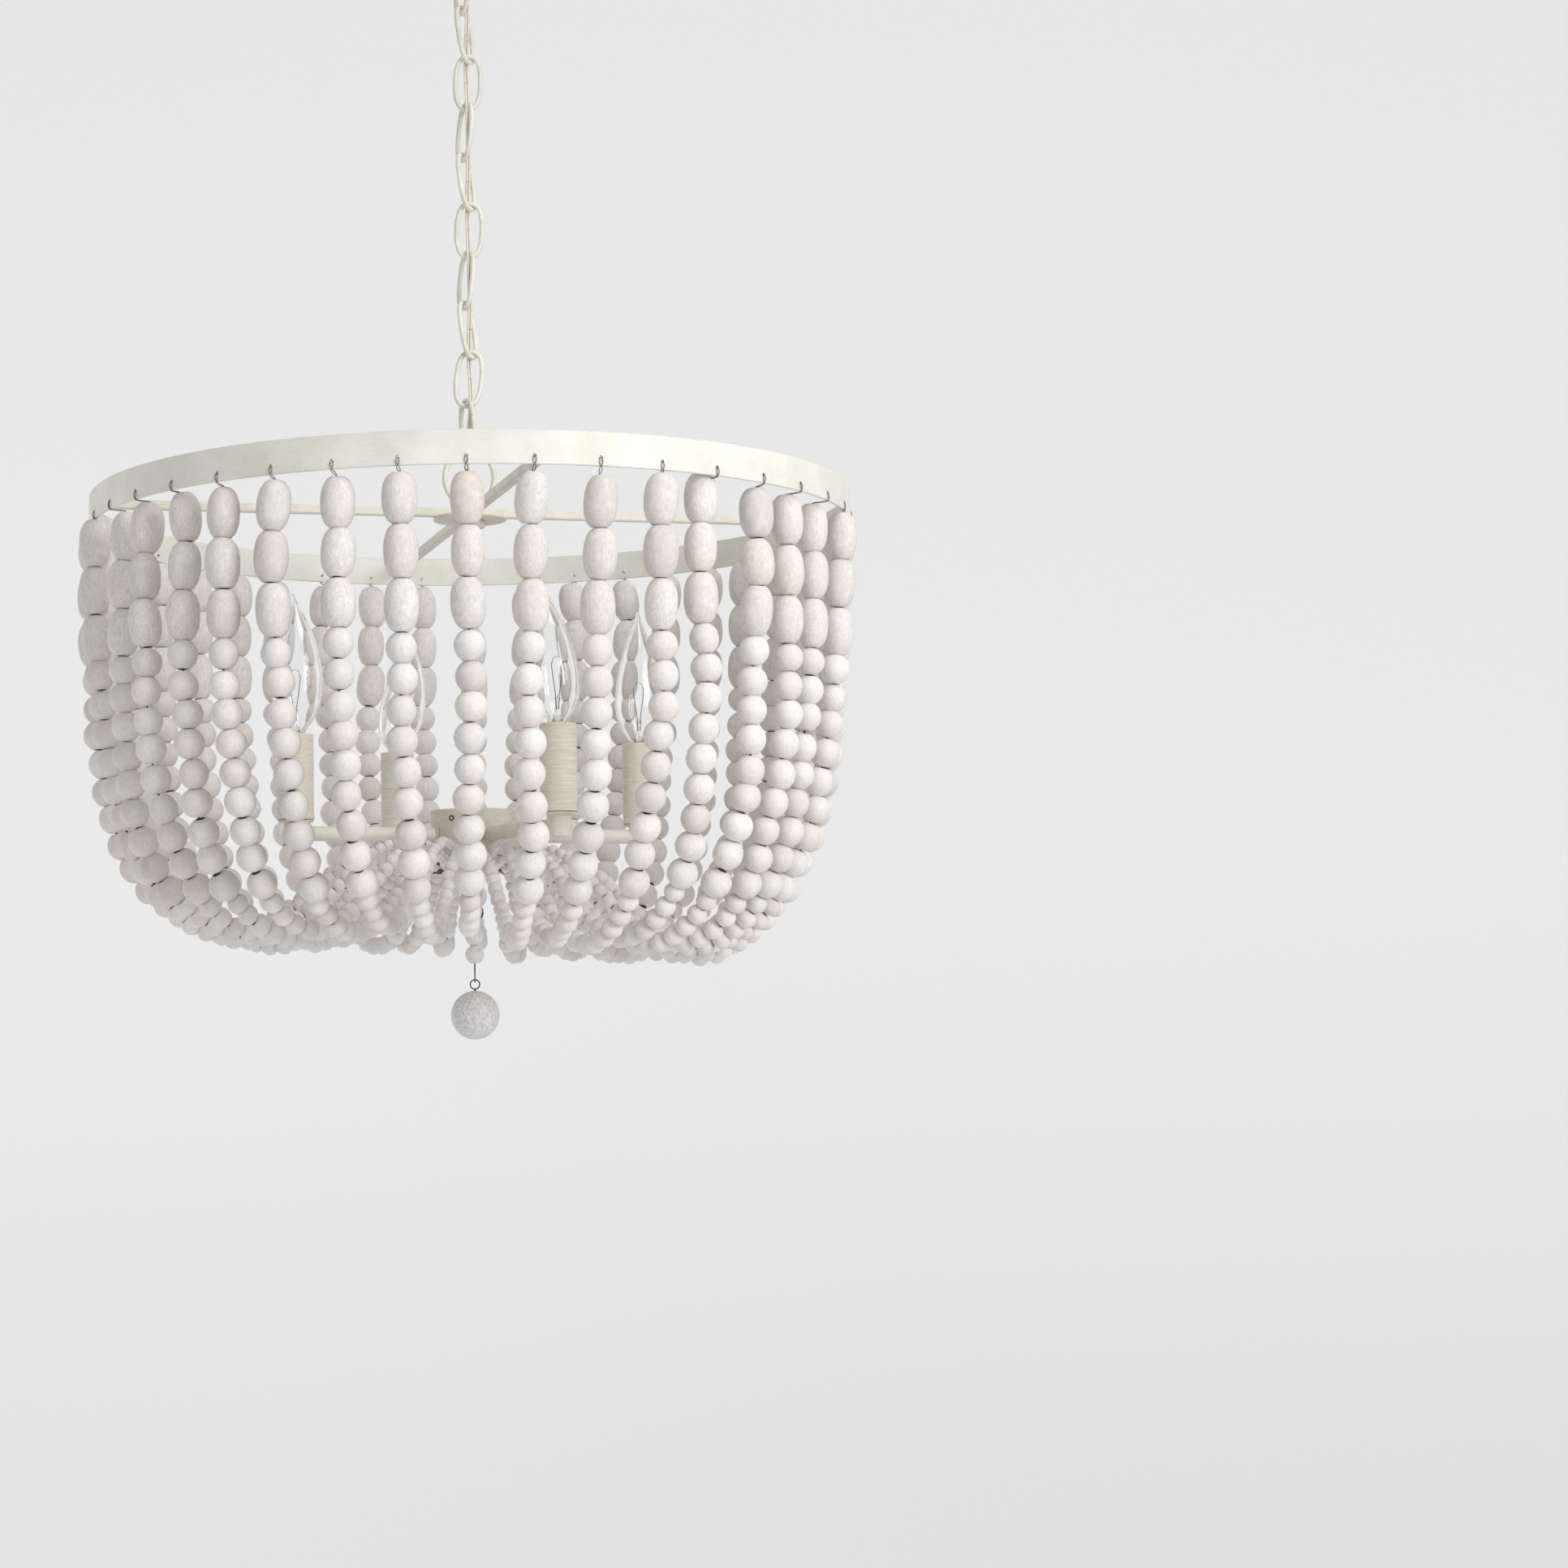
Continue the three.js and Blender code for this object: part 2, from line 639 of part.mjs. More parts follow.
// Finial drop: a wire ring, two beads on a pin and the eye that carries the ball
function finialDrop() {
  const half = beadPitch / 2;
  const bead = (top) => [
    [finialBeadNeck, top - beadPitch + finialBeadSpacing],
    [finialBeadRadius, top - half * (1 + finialBeadFlatShare)],
    [finialBeadRadius, top - half * (1 - finialBeadFlatShare)],
    [finialBeadNeck, top - finialBeadSpacing],
  ];
  const outline = [
    [0, finialEyeZ + finialEyeRadius - finialWireRadius],
    [finialWireRadius, finialEyeZ + finialEyeRadius - finialWireRadius],
    [finialWireRadius, beadBottomZ], ...bead(beadTopZ - beadPitch), ...bead(beadTopZ),
    [finialWireRadius, beadTopZ], [finialWireRadius, finialRingZ - finialRingRadius],
    [0, finialRingZ - finialRingRadius],
  ];
  return geometryOf(joined(
    turned(outline, facets.small),
    eyeRing(finialRingRadius, finialWireRadius).translate(0, 0, finialRingZ),
    eyeRing(finialEyeRadius, finialWireRadius).translate(0, 0, finialEyeZ),
  ));
}

// Finial ball: a turned ball with a screw eye in its top
function finialBall() {
  const steps = 6;
  const outline = Array.from({ length: steps + 1 }, (_, i) => {
    const angle = -Math.PI / 2 + (Math.PI * i) / steps;
    return [i % steps ? ballRadius * Math.cos(angle) : 0, ballZ + ballRadius * Math.sin(angle)];
  });
  return geometryOf(joined(
    turned(outline, facets.turned),
    drum(finialWireRadius, ballZ, ballEyeZ - ballEyeRadius + finialWireRadius / 2, facets.small),
    eyeRing(ballEyeRadius, finialWireRadius).rotateZ(Math.PI / 2).translate(0, 0, ballEyeZ),
  ));
}

// The sagging route of one string in its radial plane, from its top bead down the basket's side and
// over the shoulder round the hub to the collector ring. The uneven hang fades out towards both ends
function sagRoute(lower, degrees) {
  const inner = lower ? lowerSagShares : upperSagShares;
  const turnZ = collectorZ + (lower ? -stringTurnRadius : stringTurnRadius);
  const towards = Math.cos(radians(degrees - unevenDegrees));
  const points = [...outerSagShares, ...inner].map(([r, depth]) => {
    const reach = (bandRadius * r - collectorRadius) / (bandRadius - collectorRadius);
    return new THREE.Vector3(
      bandRadius * r - unevenWidth * towards * reach * Math.min(depth, 1), 0,
      hookZ - (hookZ - collectorZ) * depth - unevenDepth * towards * Math.sin(Math.PI * reach),
    );
  });
  const first = new THREE.Vector3(strandRadius, 0, hookZ - strandDrop);
  const rim = new THREE.Vector3(stringRimRadius, 0, turnZ);
  const last = new THREE.Vector3(collectorRadius, 0, turnZ);
  return new THREE.CatmullRomCurve3([first, ...points, rim, last], false, 'centripetal');
}

// Radius along a string. Ovals and the rounds above the bend are cut bead by bead. From the bend on,
// the rounds and the smaller and smaller beads run together into one tapering row
function beadRows(length) {
  const rows = [];
  for (let i = 0; i < ovalCount; i++) {
    const top = ovalLength * i;
    rows.push(
      [top + ovalLength * ovalShoulderShare, ovalRadius * ovalFullnessShare],
      [top + ovalLength * (1 - ovalShoulderShare), ovalRadius * ovalFullnessShare],
      [top + ovalLength, boreRadius],
    );
  }
  const roundsTop = ovalLength * ovalCount;
  for (let i = 0; i < straightRounds; i++) {
    const top = roundsTop + roundPitch * i;
    rows.push([top + roundPitch / 2, roundRadius], [top + roundPitch, boreRadius]);
  }
  const tailTop = roundsTop + roundPitch * roundCount;
  rows.push([roundsTop + roundPitch * (straightRounds + 0.5), roundRadius], [tailTop, roundTailRadius]);
  for (const [share, radiusShare] of tailShares) {
    rows.push([tailTop + (length - tailTop) * share, midBeadRadius * radiusShare]);
  }
  return rows;
}

// The rings of one string, from the hook's tip to the collector
function stringRings(lower, degrees, pairDegrees) {
  const route = sagRoute(lower, degrees);
  const length = route.getLength();
  const tipRadius = bandRadius - bandWall / 2 - hookTipReach;
  const down = up.clone().negate();
  const rows = [
    { r: tipRadius, z: hookZ, along: new THREE.Vector3(1, 0, 0), radius: hookWireRadius },
    { r: strandRadius, z: hookZ, along: new THREE.Vector3(1, 0, -1).normalize(), radius: hookWireRadius },
    { r: strandRadius, z: hookZ - strandDrop, along: down, radius: hookNeckRadius },
  ];
  for (const [distance, radius] of beadRows(length)) {
    const point = route.getPointAt(distance / length);
    rows.push({ r: point.x, z: point.z, along: route.getTangentAt(distance / length), radius });
  }
  const onRing = {
    z: collectorZ + (lower ? -stringTurnRadius : stringTurnRadius),
    along: new THREE.Vector3(-1, 0, 0), radius: stringRadius,
  };
  rows.push({ r: stringRimRadius, ...onRing }, { r: collectorRadius, ...onRing, degrees: pairDegrees });
  return rows.map((row) => ({ degrees, ...row }));
}

// A pair of strands on one string: down from a hook, round the collector ring, and up to the next hook
function beadStrands(pair) {
  const first = hookPhaseDegrees + hookStepDegrees * pair * 2;
  const middle = first + hookStepDegrees / 2;
  const downLeg = stringRings(false, first, middle);
  const upLeg = stringRings(true, first + hookStepDegrees, middle).reverse()
    .map((row) => ({ ...row, along: row.along.clone().negate() }));
  const turnRow = {
    r: collectorRadius - stringTurnRadius, z: collectorZ, along: up.clone().negate(),
    radius: stringRadius, degrees: middle,
  };
  const rings = [...downLeg, turnRow, ...upLeg].map(({ r, z, along, radius, degrees }) => {
    const angle = radians(degrees);
    const across = new THREE.Vector3(-Math.sin(angle), Math.cos(angle), 0);
    const centre = new THREE.Vector3(r * Math.cos(angle), r * Math.sin(angle), z);
    return section(centre, along.clone().applyAxisAngle(up, angle), across, radius, facets.square);
  });
  return lofted(rings);
}

// The assembly
place('ceiling_strap', ceilingStrap(), paintedSteel());
place('canopy', canopy(), paintedSteel());
place('canopy_loop', canopyLoop(), paintedSteel());
place('canopy_collar', canopyCollar(), paintedSteel());

for (let i = 0; i < linkCount; i++) {
  place(numbered('chain_link', i), wireRing(linkPath(), linkWireRadius), paintedSteel(), {
    at: [0, 0, firstLinkZ - linkPitch * i],
    turnDegrees: linkTwistDegrees * (i + 1),
  });
}
place('lamp_cord', lampCord(), cordJacket());

place('frame_loop', frameLoop(), paintedSteel());
place('crossed_bars', crossedBars(), paintedSteel(), { turnDegrees: barAzimuthDegrees });
place('ring_band', ringBand(), paintedSteel());
place('stem_coupling', stemCoupling(), paintedSteel());
place('stem', stem(), paintedSteel());
place('hub', hub(), paintedSteel());

for (let i = 0; i < armCount; i++) {
  const turnDegrees = armDegrees(i);
  place(numbered('arm', i), arm(), paintedSteel(), { turnDegrees });
  place(numbered('socket', i), socket(), socketShell(), { at: onCandle(i), turnDegrees });
  place(numbered('candle_sleeve', i), candleSleeve(), sleevePaint(), { at: onCandle(i), turnDegrees });
  place(numbered('bulb', i), bulb(), clearGlass(), { at: onCandle(i), turnDegrees: bulbBendDegrees[i] });
}

place('strand_collector', strandCollector(), paintedSteel());
for (let pair = 0; pair < strandCount / 2; pair++) {
  place(numbered('bead_strands', pair), beadStrands(pair), beadWood());
}
place('finial_drop', finialDrop(), beadWood());
place('finial_ball', finialBall(), beadWood());

export default chandelier;
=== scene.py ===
import math
from functools import partial

import bmesh
import bpy
import numpy as np
from mathutils import Matrix, Vector


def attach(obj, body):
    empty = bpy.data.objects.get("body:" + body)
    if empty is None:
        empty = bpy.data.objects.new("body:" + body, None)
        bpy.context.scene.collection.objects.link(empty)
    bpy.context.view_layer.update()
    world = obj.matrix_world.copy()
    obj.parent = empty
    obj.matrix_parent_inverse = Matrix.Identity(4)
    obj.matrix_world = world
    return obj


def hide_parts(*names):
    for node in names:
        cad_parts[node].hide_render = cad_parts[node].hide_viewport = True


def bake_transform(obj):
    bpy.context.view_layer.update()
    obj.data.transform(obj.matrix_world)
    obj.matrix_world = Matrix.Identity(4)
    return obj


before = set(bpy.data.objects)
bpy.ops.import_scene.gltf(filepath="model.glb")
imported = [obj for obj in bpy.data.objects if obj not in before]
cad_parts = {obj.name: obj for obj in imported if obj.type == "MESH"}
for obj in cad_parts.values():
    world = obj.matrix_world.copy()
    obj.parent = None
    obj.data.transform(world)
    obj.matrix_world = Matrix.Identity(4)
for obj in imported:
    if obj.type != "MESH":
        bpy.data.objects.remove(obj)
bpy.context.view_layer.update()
MM = 0.001
TO_MM = (1000, 1000, 1000)

# Levels and sizes of the light, in millimetres, as the CAD has them
BAND_RADIUS = 235.0
STRAND_COUNT = 40
HOOK_STEP = 360.0 / STRAND_COUNT
HOOK_PHASE = -0.43
HOOK_Z = -436.15
BAR_Z = HOOK_Z + 8
LINK_COUNT = 10
LINK_PITCH = 31.6
LINK_HALF_WIDTH = 7.95
LINK_HALF_LENGTH = 17.65
TOP_JOINT_Z = -73.0
FIRST_LINK_Z = -86.85
LINK_TWIST = -60.0
JOINT_HALF_STEP = 1.85
LOOP_HALF_WIDTH = 15.45
LOOP_HALF_HEIGHT = 17.5
LOOP_WIRE_RADIUS = 1.8
CANOPY_LOOP_Z = -55.5
NIPPLE_MOUTH_Z = -38.3
HUB_TOP_Z = HOOK_Z - 175
HUB_BOTTOM_Z = HUB_TOP_Z - 29
ARM_Z = HUB_TOP_Z - 15.6
CUP_TOP_Z = ARM_Z + 8
CANDLE_CIRCLE = 118.0
ARM_DEGREES = [25.0, 115.0, 205.0, 295.0]
SLEEVE_BOTTOM_Z = ARM_Z + 8.3
SLEEVE_TOP_Z = SLEEVE_BOTTOM_Z + 51.5
COLLECTOR_Z = HUB_BOTTOM_Z - 6.4
COLLECTOR_RADIUS = 23.0
FOOT_TOP_Z = BAR_Z + 8.05
EYE_Z = HOOK_Z - 232.6
DROP_RING_Z = HOOK_Z - 239.0
FINIAL_BEADS_Z = (HOOK_Z - 253.47, HOOK_Z - 264.62)
FINIAL_EYE_Z = HOOK_Z - 279.5
BALL_EYE_Z = HOOK_Z - 282.6
BALL_Z = HOOK_Z - 302.0
BALL_RADIUS = 15
# The photographed band, bars and hooks stand this much higher than the solids
LIFT = 3.1
# Where a bead's ends are cut flat, as a share of its full half length
OVAL_CUT = 0.936
ROUND_CUT = 0.923
# Kinds of bead on a string
OVAL, ROUND, SMALL = 0, 1, 2
# Faces that meet at more than this many degrees keep a crisp edge
CRISP = 35
FULL_TURN = 6.28


def hue(code):
    """A linear colour from an sRGB hex code."""
    parts = [int(code[i:i + 2], 16) / 255 for i in (1, 3, 5)]
    return tuple(p / 12.92 if p <= 0.04045 else ((p + 0.055) / 1.055) ** 2.4 for p in parts) + (1.0,)


def add_node(tree, kind, inputs=None, **settings):
    """Adds a node with its settings, and gives each input its value or its link."""
    made = tree.nodes.new(kind)
    for key, value in settings.items():
        setattr(made, key, value)
    for key, value in (inputs or {}).items():
        if isinstance(value, bpy.types.NodeSocket):
            tree.links.new(value, made.inputs[key])
        else:
            made.inputs[key].default_value = value
    return made


def polar(degrees, radius, z):
    a = math.radians(degrees)
    return (radius * math.cos(a), radius * math.sin(a), z)


# Camera: the photograph's view, standing level with the basket's lower part
LENS_MM = 61.07
SENSOR_MM = 36.0
FRAME_SHIFT = 0.1932
CAMERA_YAW, CAMERA_PITCH, CAMERA_ROLL = 0.0031, 0.0648, -0.0108
CAMERA_REACH = 7.0252 * BAND_RADIUS
CAMERA_Z = HOOK_Z - 1.1315 * BAND_RADIUS


def photo_camera():
    data = bpy.data.cameras.new("photo_camera")
    data.lens, data.sensor_width, data.sensor_fit = LENS_MM, SENSOR_MM, "AUTO"
    data.shift_x = FRAME_SHIFT
    data.clip_start, data.clip_end = 0.05, 60
    camera = bpy.data.objects.new("photo_camera", data)
    level = math.cos(CAMERA_PITCH)
    forward = Vector((math.sin(CAMERA_YAW) * level, math.cos(CAMERA_YAW) * level, math.sin(CAMERA_PITCH)))
    turn = forward.to_track_quat("-Z", "Y").to_matrix().to_4x4() @ Matrix.Rotation(CAMERA_ROLL, 4, "Z")
    camera.matrix_world = Matrix.Translation((0, -CAMERA_REACH * MM, CAMERA_Z * MM)) @ turn
    bpy.context.scene.collection.objects.link(camera)
    bpy.context.scene.camera = camera
    bpy.context.scene.view_settings.view_transform = "Standard"


photo_camera()


# Meshes
def mesh_object(name, verts, faces):
    mesh = bpy.data.meshes.new(name)
    mesh.from_pydata([tuple(v) for v in verts], [], [tuple(f) for f in faces])
    mesh.validate()
    mesh.polygons.foreach_set("use_smooth", [True] * len(mesh.polygons))
    mesh.update()
    obj = bpy.data.objects.new(name, mesh)
    bpy.context.scene.collection.objects.link(obj)
    return obj


def crisp_edges(obj, degrees):
    edges = bmesh.new()
    edges.from_mesh(obj.data)
    limit = math.radians(degrees)
    for edge in edges.edges:
        edge.smooth = not (len(edge.link_faces) == 2 and edge.calc_face_angle(0) > limit)
    edges.to_mesh(obj.data)
    edges.free()
    return obj


class Shape:
    """Vertices and faces of one piece, gathered from its parts. Sizes are in mm."""

    def __init__(self):
        self.verts, self.faces, self.slots = [], [], []

    def add(self, verts, faces, slot=0):
        base = len(self.verts)
        self.verts.extend(np.asarray(verts, float))
        self.faces.extend([tuple(base + i for i in f) for f in faces])
        self.slots.extend([slot] * len(faces))
        return self

    def lathe(self, outline, sides=48, at=(0, 0, 0), slot=0, closed=False, axis=None):
        """Turns an outline of (radius, height) round an axis. Points on the axis become one vertex."""
        rings, verts, faces = [], [], []
        for r, z in outline:
            if r < 1e-6:
                rings.append([len(verts)])
                verts.append((0, 0, z))
            else:
                rings.append(list(range(len(verts), len(verts) + sides)))
                verts.extend((r * math.cos(2 * math.pi * k / sides), r * math.sin(2 * math.pi * k / sides), z)
                             for k in range(sides))
        pairs = list(zip(rings, rings[1:])) + ([(rings[-1], rings[0])] if closed else [])
        for low, high in pairs:
            for k in range(sides):
                n = (k + 1) % sides
                face = [low[k % len(low)], low[n % len(low)], high[n % len(high)], high[k % len(high)]]
                face = [v for i, v in enumerate(face) if v != face[i - 1]]
                if len(face) > 2:
                    faces.append(face)
        points = np.array(verts, float)
        if axis is not None:
            turn = np.array(Vector((0, 0, 1)).rotation_difference(Vector(axis)).to_matrix())
            points = points @ turn.T
        return self.add(points + np.array(at, float), faces, slot)

    def tube(self, line, radius, sides=8, closed=False, slot=0):
        """A wire along a line of points."""
        p = np.array(line, float)
        n = len(p)
        ahead = np.roll(p, -1, 0) - p
        behind = p - np.roll(p, 1, 0)
        if not closed:
            ahead[-1], behind[0] = behind[-1], ahead[0]
        along = ahead + behind
        along /= np.linalg.norm(along, axis=1)[:, None]
        side = np.cross(along[0], (0.37, 0.21, 0.9))
        side /= np.linalg.norm(side)
        across = []
        for t in along:
            side = side - t * (side @ t)
            side /= np.linalg.norm(side)
            across.append(side)
        turn = 0.0
        if closed:
            last = across[-1] - along[0] * (across[-1] @ along[0])
            last /= np.linalg.norm(last)
            turn = math.atan2(np.cross(last, across[0]) @ along[0], last @ across[0])
        verts = []
        for i, (t, s) in enumerate(zip(along, across)):
            other = np.cross(t, s)
            for k in range(sides):
                a = 2 * math.pi * k / sides + turn * i / n
                verts.append(p[i] + radius * (math.cos(a) * s + math.sin(a) * other))
        faces = []
        for i in range(n if closed else n - 1):
            j = (i + 1) % n
            for k in range(sides):
                m = (k + 1) % sides
                faces.append((i * sides + k, i * sides + m, j * sides + m, j * sides + k))
        if not closed:
            faces.append(tuple(reversed(range(sides))))
            faces.append(tuple(range((n - 1) * sides, n * sides)))
        return self.add(verts, faces, slot)

    def bar(self, size, at, degrees, bevel):
        """A bar with narrow bevels, turned about Z."""
        solid = bmesh.new()
        bmesh.ops.create_cube(solid, size=1.0)
        for v in solid.verts:
            v.co = Vector((v.co.x * size[0], v.co.y * size[1], v.co.z * size[2]))
        bmesh.ops.bevel(solid, geom=list(solid.edges), offset=bevel, segments=2, affect="EDGES")
        solid.verts.index_update()
        c, s = math.cos(math.radians(degrees)), math.sin(math.radians(degrees))
        verts = [(v.co.x * c - v.co.y * s + at[0], v.co.x * s + v.co.y * c + at[1], v.co.z + at[2])
                 for v in solid.verts]
        faces = [[v.index for v in f.verts] for f in solid.faces]
        solid.free()
        return self.add(verts, faces)

    def made(self, name, *materials, crisp=CRISP):
        obj = mesh_object(name, np.array(self.verts) * MM, self.faces)
        for material in materials:
            obj.data.materials.append(material)
        if len(materials) > 1:
            obj.data.polygons.foreach_set("material_index", self.slots[:len(obj.data.polygons)])
        return crisp_edges(obj, crisp) if crisp else obj


def arc(cx, cz, radius, start, end, steps):
    """Points of an outline's rounded corner, from one angle to another in degrees."""
    return [(cx + radius * math.cos(math.radians(start + (end - start) * i / steps)),
             cz + radius * math.sin(math.radians(start + (end - start) * i / steps)))
            for i in range(steps + 1)]


def drum_outline(radius, bottom, top, edge):
    """A closed drum with rounded rims."""
    return ([(0, bottom)] + arc(radius - edge, bottom + edge, edge, -90, 0, 3)
            + arc(radius - edge, top - edge, edge, 0, 90, 3) + [(0, top)])


def rod_outline(radius, bottom, top):
    return [(0, bottom), (radius, bottom), (radius, top), (0, top)]


def loop_line(half_width, half_height, level, steps=56):
    return [(half_width * math.sin(2 * math.pi * i / steps), 0,
             level - half_height * math.cos(2 * math.pi * i / steps)) for i in range(steps)]


def eye_line(radius, level, along_y=False):
    """A small wire eye, which stands along X or along Y."""
    points = loop_line(radius, radius, level, 28)
    return [(0, x, z) for x, _, z in points] if along_y else points


def settle(obj, body, slot, *nodes):
    """The piece rides on its body and stands for its CAD nodes. Its slot is not used."""
    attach(obj, body)
    if nodes:
        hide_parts(*nodes)
    return obj


# Materials. Each has patterns of a real width, thin coats of colour over a ground, and a shader
def empty_material(name):
    material = bpy.data.materials.new(name)
    material.use_nodes = True
    material.node_tree.nodes.clear()
    return material


def place_on_object(tree):
    """Object coordinates in millimetres."""
    where = add_node(tree, "ShaderNodeTexCoord").outputs["Object"]
    return add_node(tree, "ShaderNodeVectorMath", {0: where, 1: TO_MM}, operation="MULTIPLY").outputs[0]


def marks(tree, place, kinds):
    """Irregular marks, by name: the width of a mark in mm, its detail, its roughness and how it is drawn out."""
    made = {}
    for label, (width, detail, roughness, *stretch) in kinds.items():
        spot = place
        if stretch:
            spot = add_node(tree, "ShaderNodeMapping", {"Vector": place, "Scale": stretch[0]}).outputs[0]
        made[label] = add_node(tree, "ShaderNodeTexNoise", {
            "Vector": spot, "Scale": 1 / width, "Detail": detail, "Roughness": roughness}).outputs["Fac"]
    return made


def coats(tree, ground, values, layers):
    """Thin colours over a ground. Each shows where all its masks do: a mask is the name of a value, alone or with
    the two levels between which it fades in and the most that it shows."""
    colour = ground
    for tint, *masks in layers:
        share = None
        for mask in masks:
            if isinstance(mask, str):
                part = values[mask]
            else:
                label, low, high, most = mask
                part = add_node(tree, "ShaderNodeMapRange", {
                    "Value": values[label], "From Min": low, "From Max": high, "To Max": most}).outputs["Result"]
            share = part if share is None else add_node(
                tree, "ShaderNodeMath", {0: share, 1: part}, operation="MULTIPLY").outputs[0]
        colour = add_node(tree, "ShaderNodeMix", {0: share, 6: colour, 7: hue(tint)}, data_type="RGBA").outputs[2]
    return colour


def surface(material, values, colour, rough, relief=None, **shader):
    """The shader. Roughness is even, or fades between two levels with a mark, and a relief has its depth in mm."""
    node = partial(add_node, material.node_tree)
    if isinstance(rough, tuple):
        label, low, high, smooth, coarse = rough
        rough = node("ShaderNodeMapRange", {"Value": values[label], "From Min": low, "From Max": high,
                                            "To Min": smooth, "To Max": coarse}).outputs["Result"]
    inputs = {"Base Color": colour, "Roughness": rough}
    inputs.update({label.replace("_", " "): value for label, value in shader.items()})
    if relief:
        label, depth, strength = relief
        inputs["Normal"] = node("ShaderNodeBump", {
            "Height": values[label], "Distance": depth * MM, "Strength": strength}).outputs[0]
    node("ShaderNodeOutputMaterial", {"Surface": node("ShaderNodeBsdfPrincipled", inputs).outputs[0]})
    return material


def finish(name, ground, kinds, layers, rough, relief=None, **shader):
    material = empty_material(name)
    values = marks(material.node_tree, place_on_object(material.node_tree), kinds)
    colour = coats(material.node_tree, hue(ground), values, layers)
    return surface(material, values, colour, rough, relief, **shader)


# Sprayed enamel on mild steel, dry-brushed by hand. It gives soft clouds of two creams, pale upright brush marks
# and a few dark specks. A bristle's mark is too fine to show, so the brush marks are drawn 2 mm wide
def brushed_enamel(name, ground="#E4E1D6", shade="#D3CEBE", speck="#8A8072", rough=0.55):
    material = empty_material(name)
    tree = material.node_tree
    values = marks(tree, place_on_object(tree), {
        "cloud": (28.57, 4, 0.55), "brush": (2, 4, 0.65, (0.35, 0.35, 1.6)),
        "speck": (1.111, 2, 0.5), "worn_patch": (11.11, 3, 0.55)})
    colour = coats(tree, hue(ground), values, [
        (shade, ("cloud", 0.35, 0.65, 1)),
        ("#F3F1EA", ("brush", 0.35, 0.7, 0.28)),
        (speck, ("speck", 0.66, 0.74, 0.5), ("worn_patch", 0.45, 0.62, 1))])
    sag = add_node(tree, "ShaderNodeMath", {0: values["cloud"], 1: 0.5}, operation="MULTIPLY").outputs[0]
    values["film"] = add_node(tree, "ShaderNodeMath", {0: values["brush"], 1: sag}, operation="ADD").outputs[0]
    return surface(material, values, colour, ("brush", 0.3, 0.7, rough - 0.08, rough + 0.1), ("film", 0.12, 0.5))


# Turned beech, whitewashed and sanded back. Each bead has its own tone and warmth, grey fibres run from hole to
# hole and chalky clouds lie over them. The dark disc round the hole on each flat end is painted shade of the bore
# and of the gap to the next bead. A fibre is too fine to show, so it is drawn 0.9 mm wide
def whitewashed_beech():
    material = empty_material("whitewashed_beech")
    tree = material.node_tree
    node = partial(add_node, tree)
    values = {label: node("ShaderNodeAttribute", attribute_name=label).outputs["Fac"]
              for label in ("tone", "warmth", "grain")}
    in_bead, size = [node("ShaderNodeAttribute", attribute_name=label).outputs["Vector"]
                     for label in ("bead_place", "size")]
    place = node("ShaderNodeVectorMath", {0: in_bead, 1: size}, operation="MULTIPLY").outputs[0]
    place = node("ShaderNodeVectorMath", {0: place, 1: TO_MM}, operation="MULTIPLY").outputs[0]
    # Far apart in the pattern, so no two beads share their grain
    apart = node("ShaderNodeCombineXYZ", {"X": values["tone"], "Y": values["warmth"]}).outputs[0]
    apart = node("ShaderNodeVectorMath", {0: apart, 1: (311, 173, 0)}, operation="MULTIPLY").outputs[0]
    place = node("ShaderNodeVectorMath", {0: place, 1: apart}, operation="ADD").outputs[0]
    values.update(marks(tree, place, {
        "fibre": (0.8696, 5, 0.8, (1, 1, 0.26)), "streak": (2, 3, 0.6, (1, 1, 0.2)),
        "chalk": (6.25, 3, 0.55), "mottle": (1.111, 4, 0.7)}))
    flat = node("ShaderNodeVectorMath", {0: in_bead, 1: (1, 1, 0)}, operation="MULTIPLY").outputs[0]
    values["off_hole"] = node("ShaderNodeVectorMath", {0: flat, 1: flat}, operation="DOT_PRODUCT").outputs["Value"]
    upright = node("ShaderNodeVectorMath", {0: in_bead}, operation="ABSOLUTE").outputs[0]
    values["to_end"] = node("ShaderNodeSeparateXYZ", {"Vector": upright}).outputs["Z"]
    tones = node("ShaderNodeValToRGB", {"Fac": values["tone"]})
    for spot in (0.3, 0.65):
        tones.color_ramp.elements.new(spot)
    for element, code in zip(tones.color_ramp.elements, ("#D9D4D1", "#E6E2DF", "#EEEBE9", "#F5F3F1")):
        element.color = hue(code)
    colour = coats(tree, tones.outputs["Color"], values, [
        ("#EBDDD2", ("warmth", 0.6, 1, 0.35)),
        ("#EAD6C4", ("warmth", 0.985, 0.99, 0.3)),
        ("#DCDCDF", ("warmth", 0.45, 0, 0.25)),
        ("#CFC8C2", ("streak", 0.42, 0.7, 0.3), "grain"),
        ("#BCB1A8", ("fibre", 0.42, 0.62, 0.5), "grain"),
        ("#CFC8C3", ("mottle", 0.42, 0.66, 0.45)),
        ("#F4F1EF", ("chalk", 0.5, 0.75, 0.35)),
        # Painted shade: a dark disc round the hole on each flat end, for the bore and the gap to the next bead
        ("#4A3D34", ("off_hole", 0.11, 0.07, 1), ("to_end", 0.91, 0.92, 1))])
    ridges = node("ShaderNodeMath", {0: values["streak"], 1: 0.6}, operation="MULTIPLY").outputs[0]
    ridges = node("ShaderNodeMath", {0: values["fibre"], 1: ridges}, operation="ADD").outputs[0]
    values["sanded"] = node("ShaderNodeMix", {0: values["grain"], 6: values["mottle"], 7: ridges},
                            data_type="RGBA").outputs[2]
    return surface(material, values, colour, ("fibre", 0.3, 0.7, 0.66, 0.84), ("sanded", 0.12, 0.5),
                   Specular_IOR_Level=0.3)


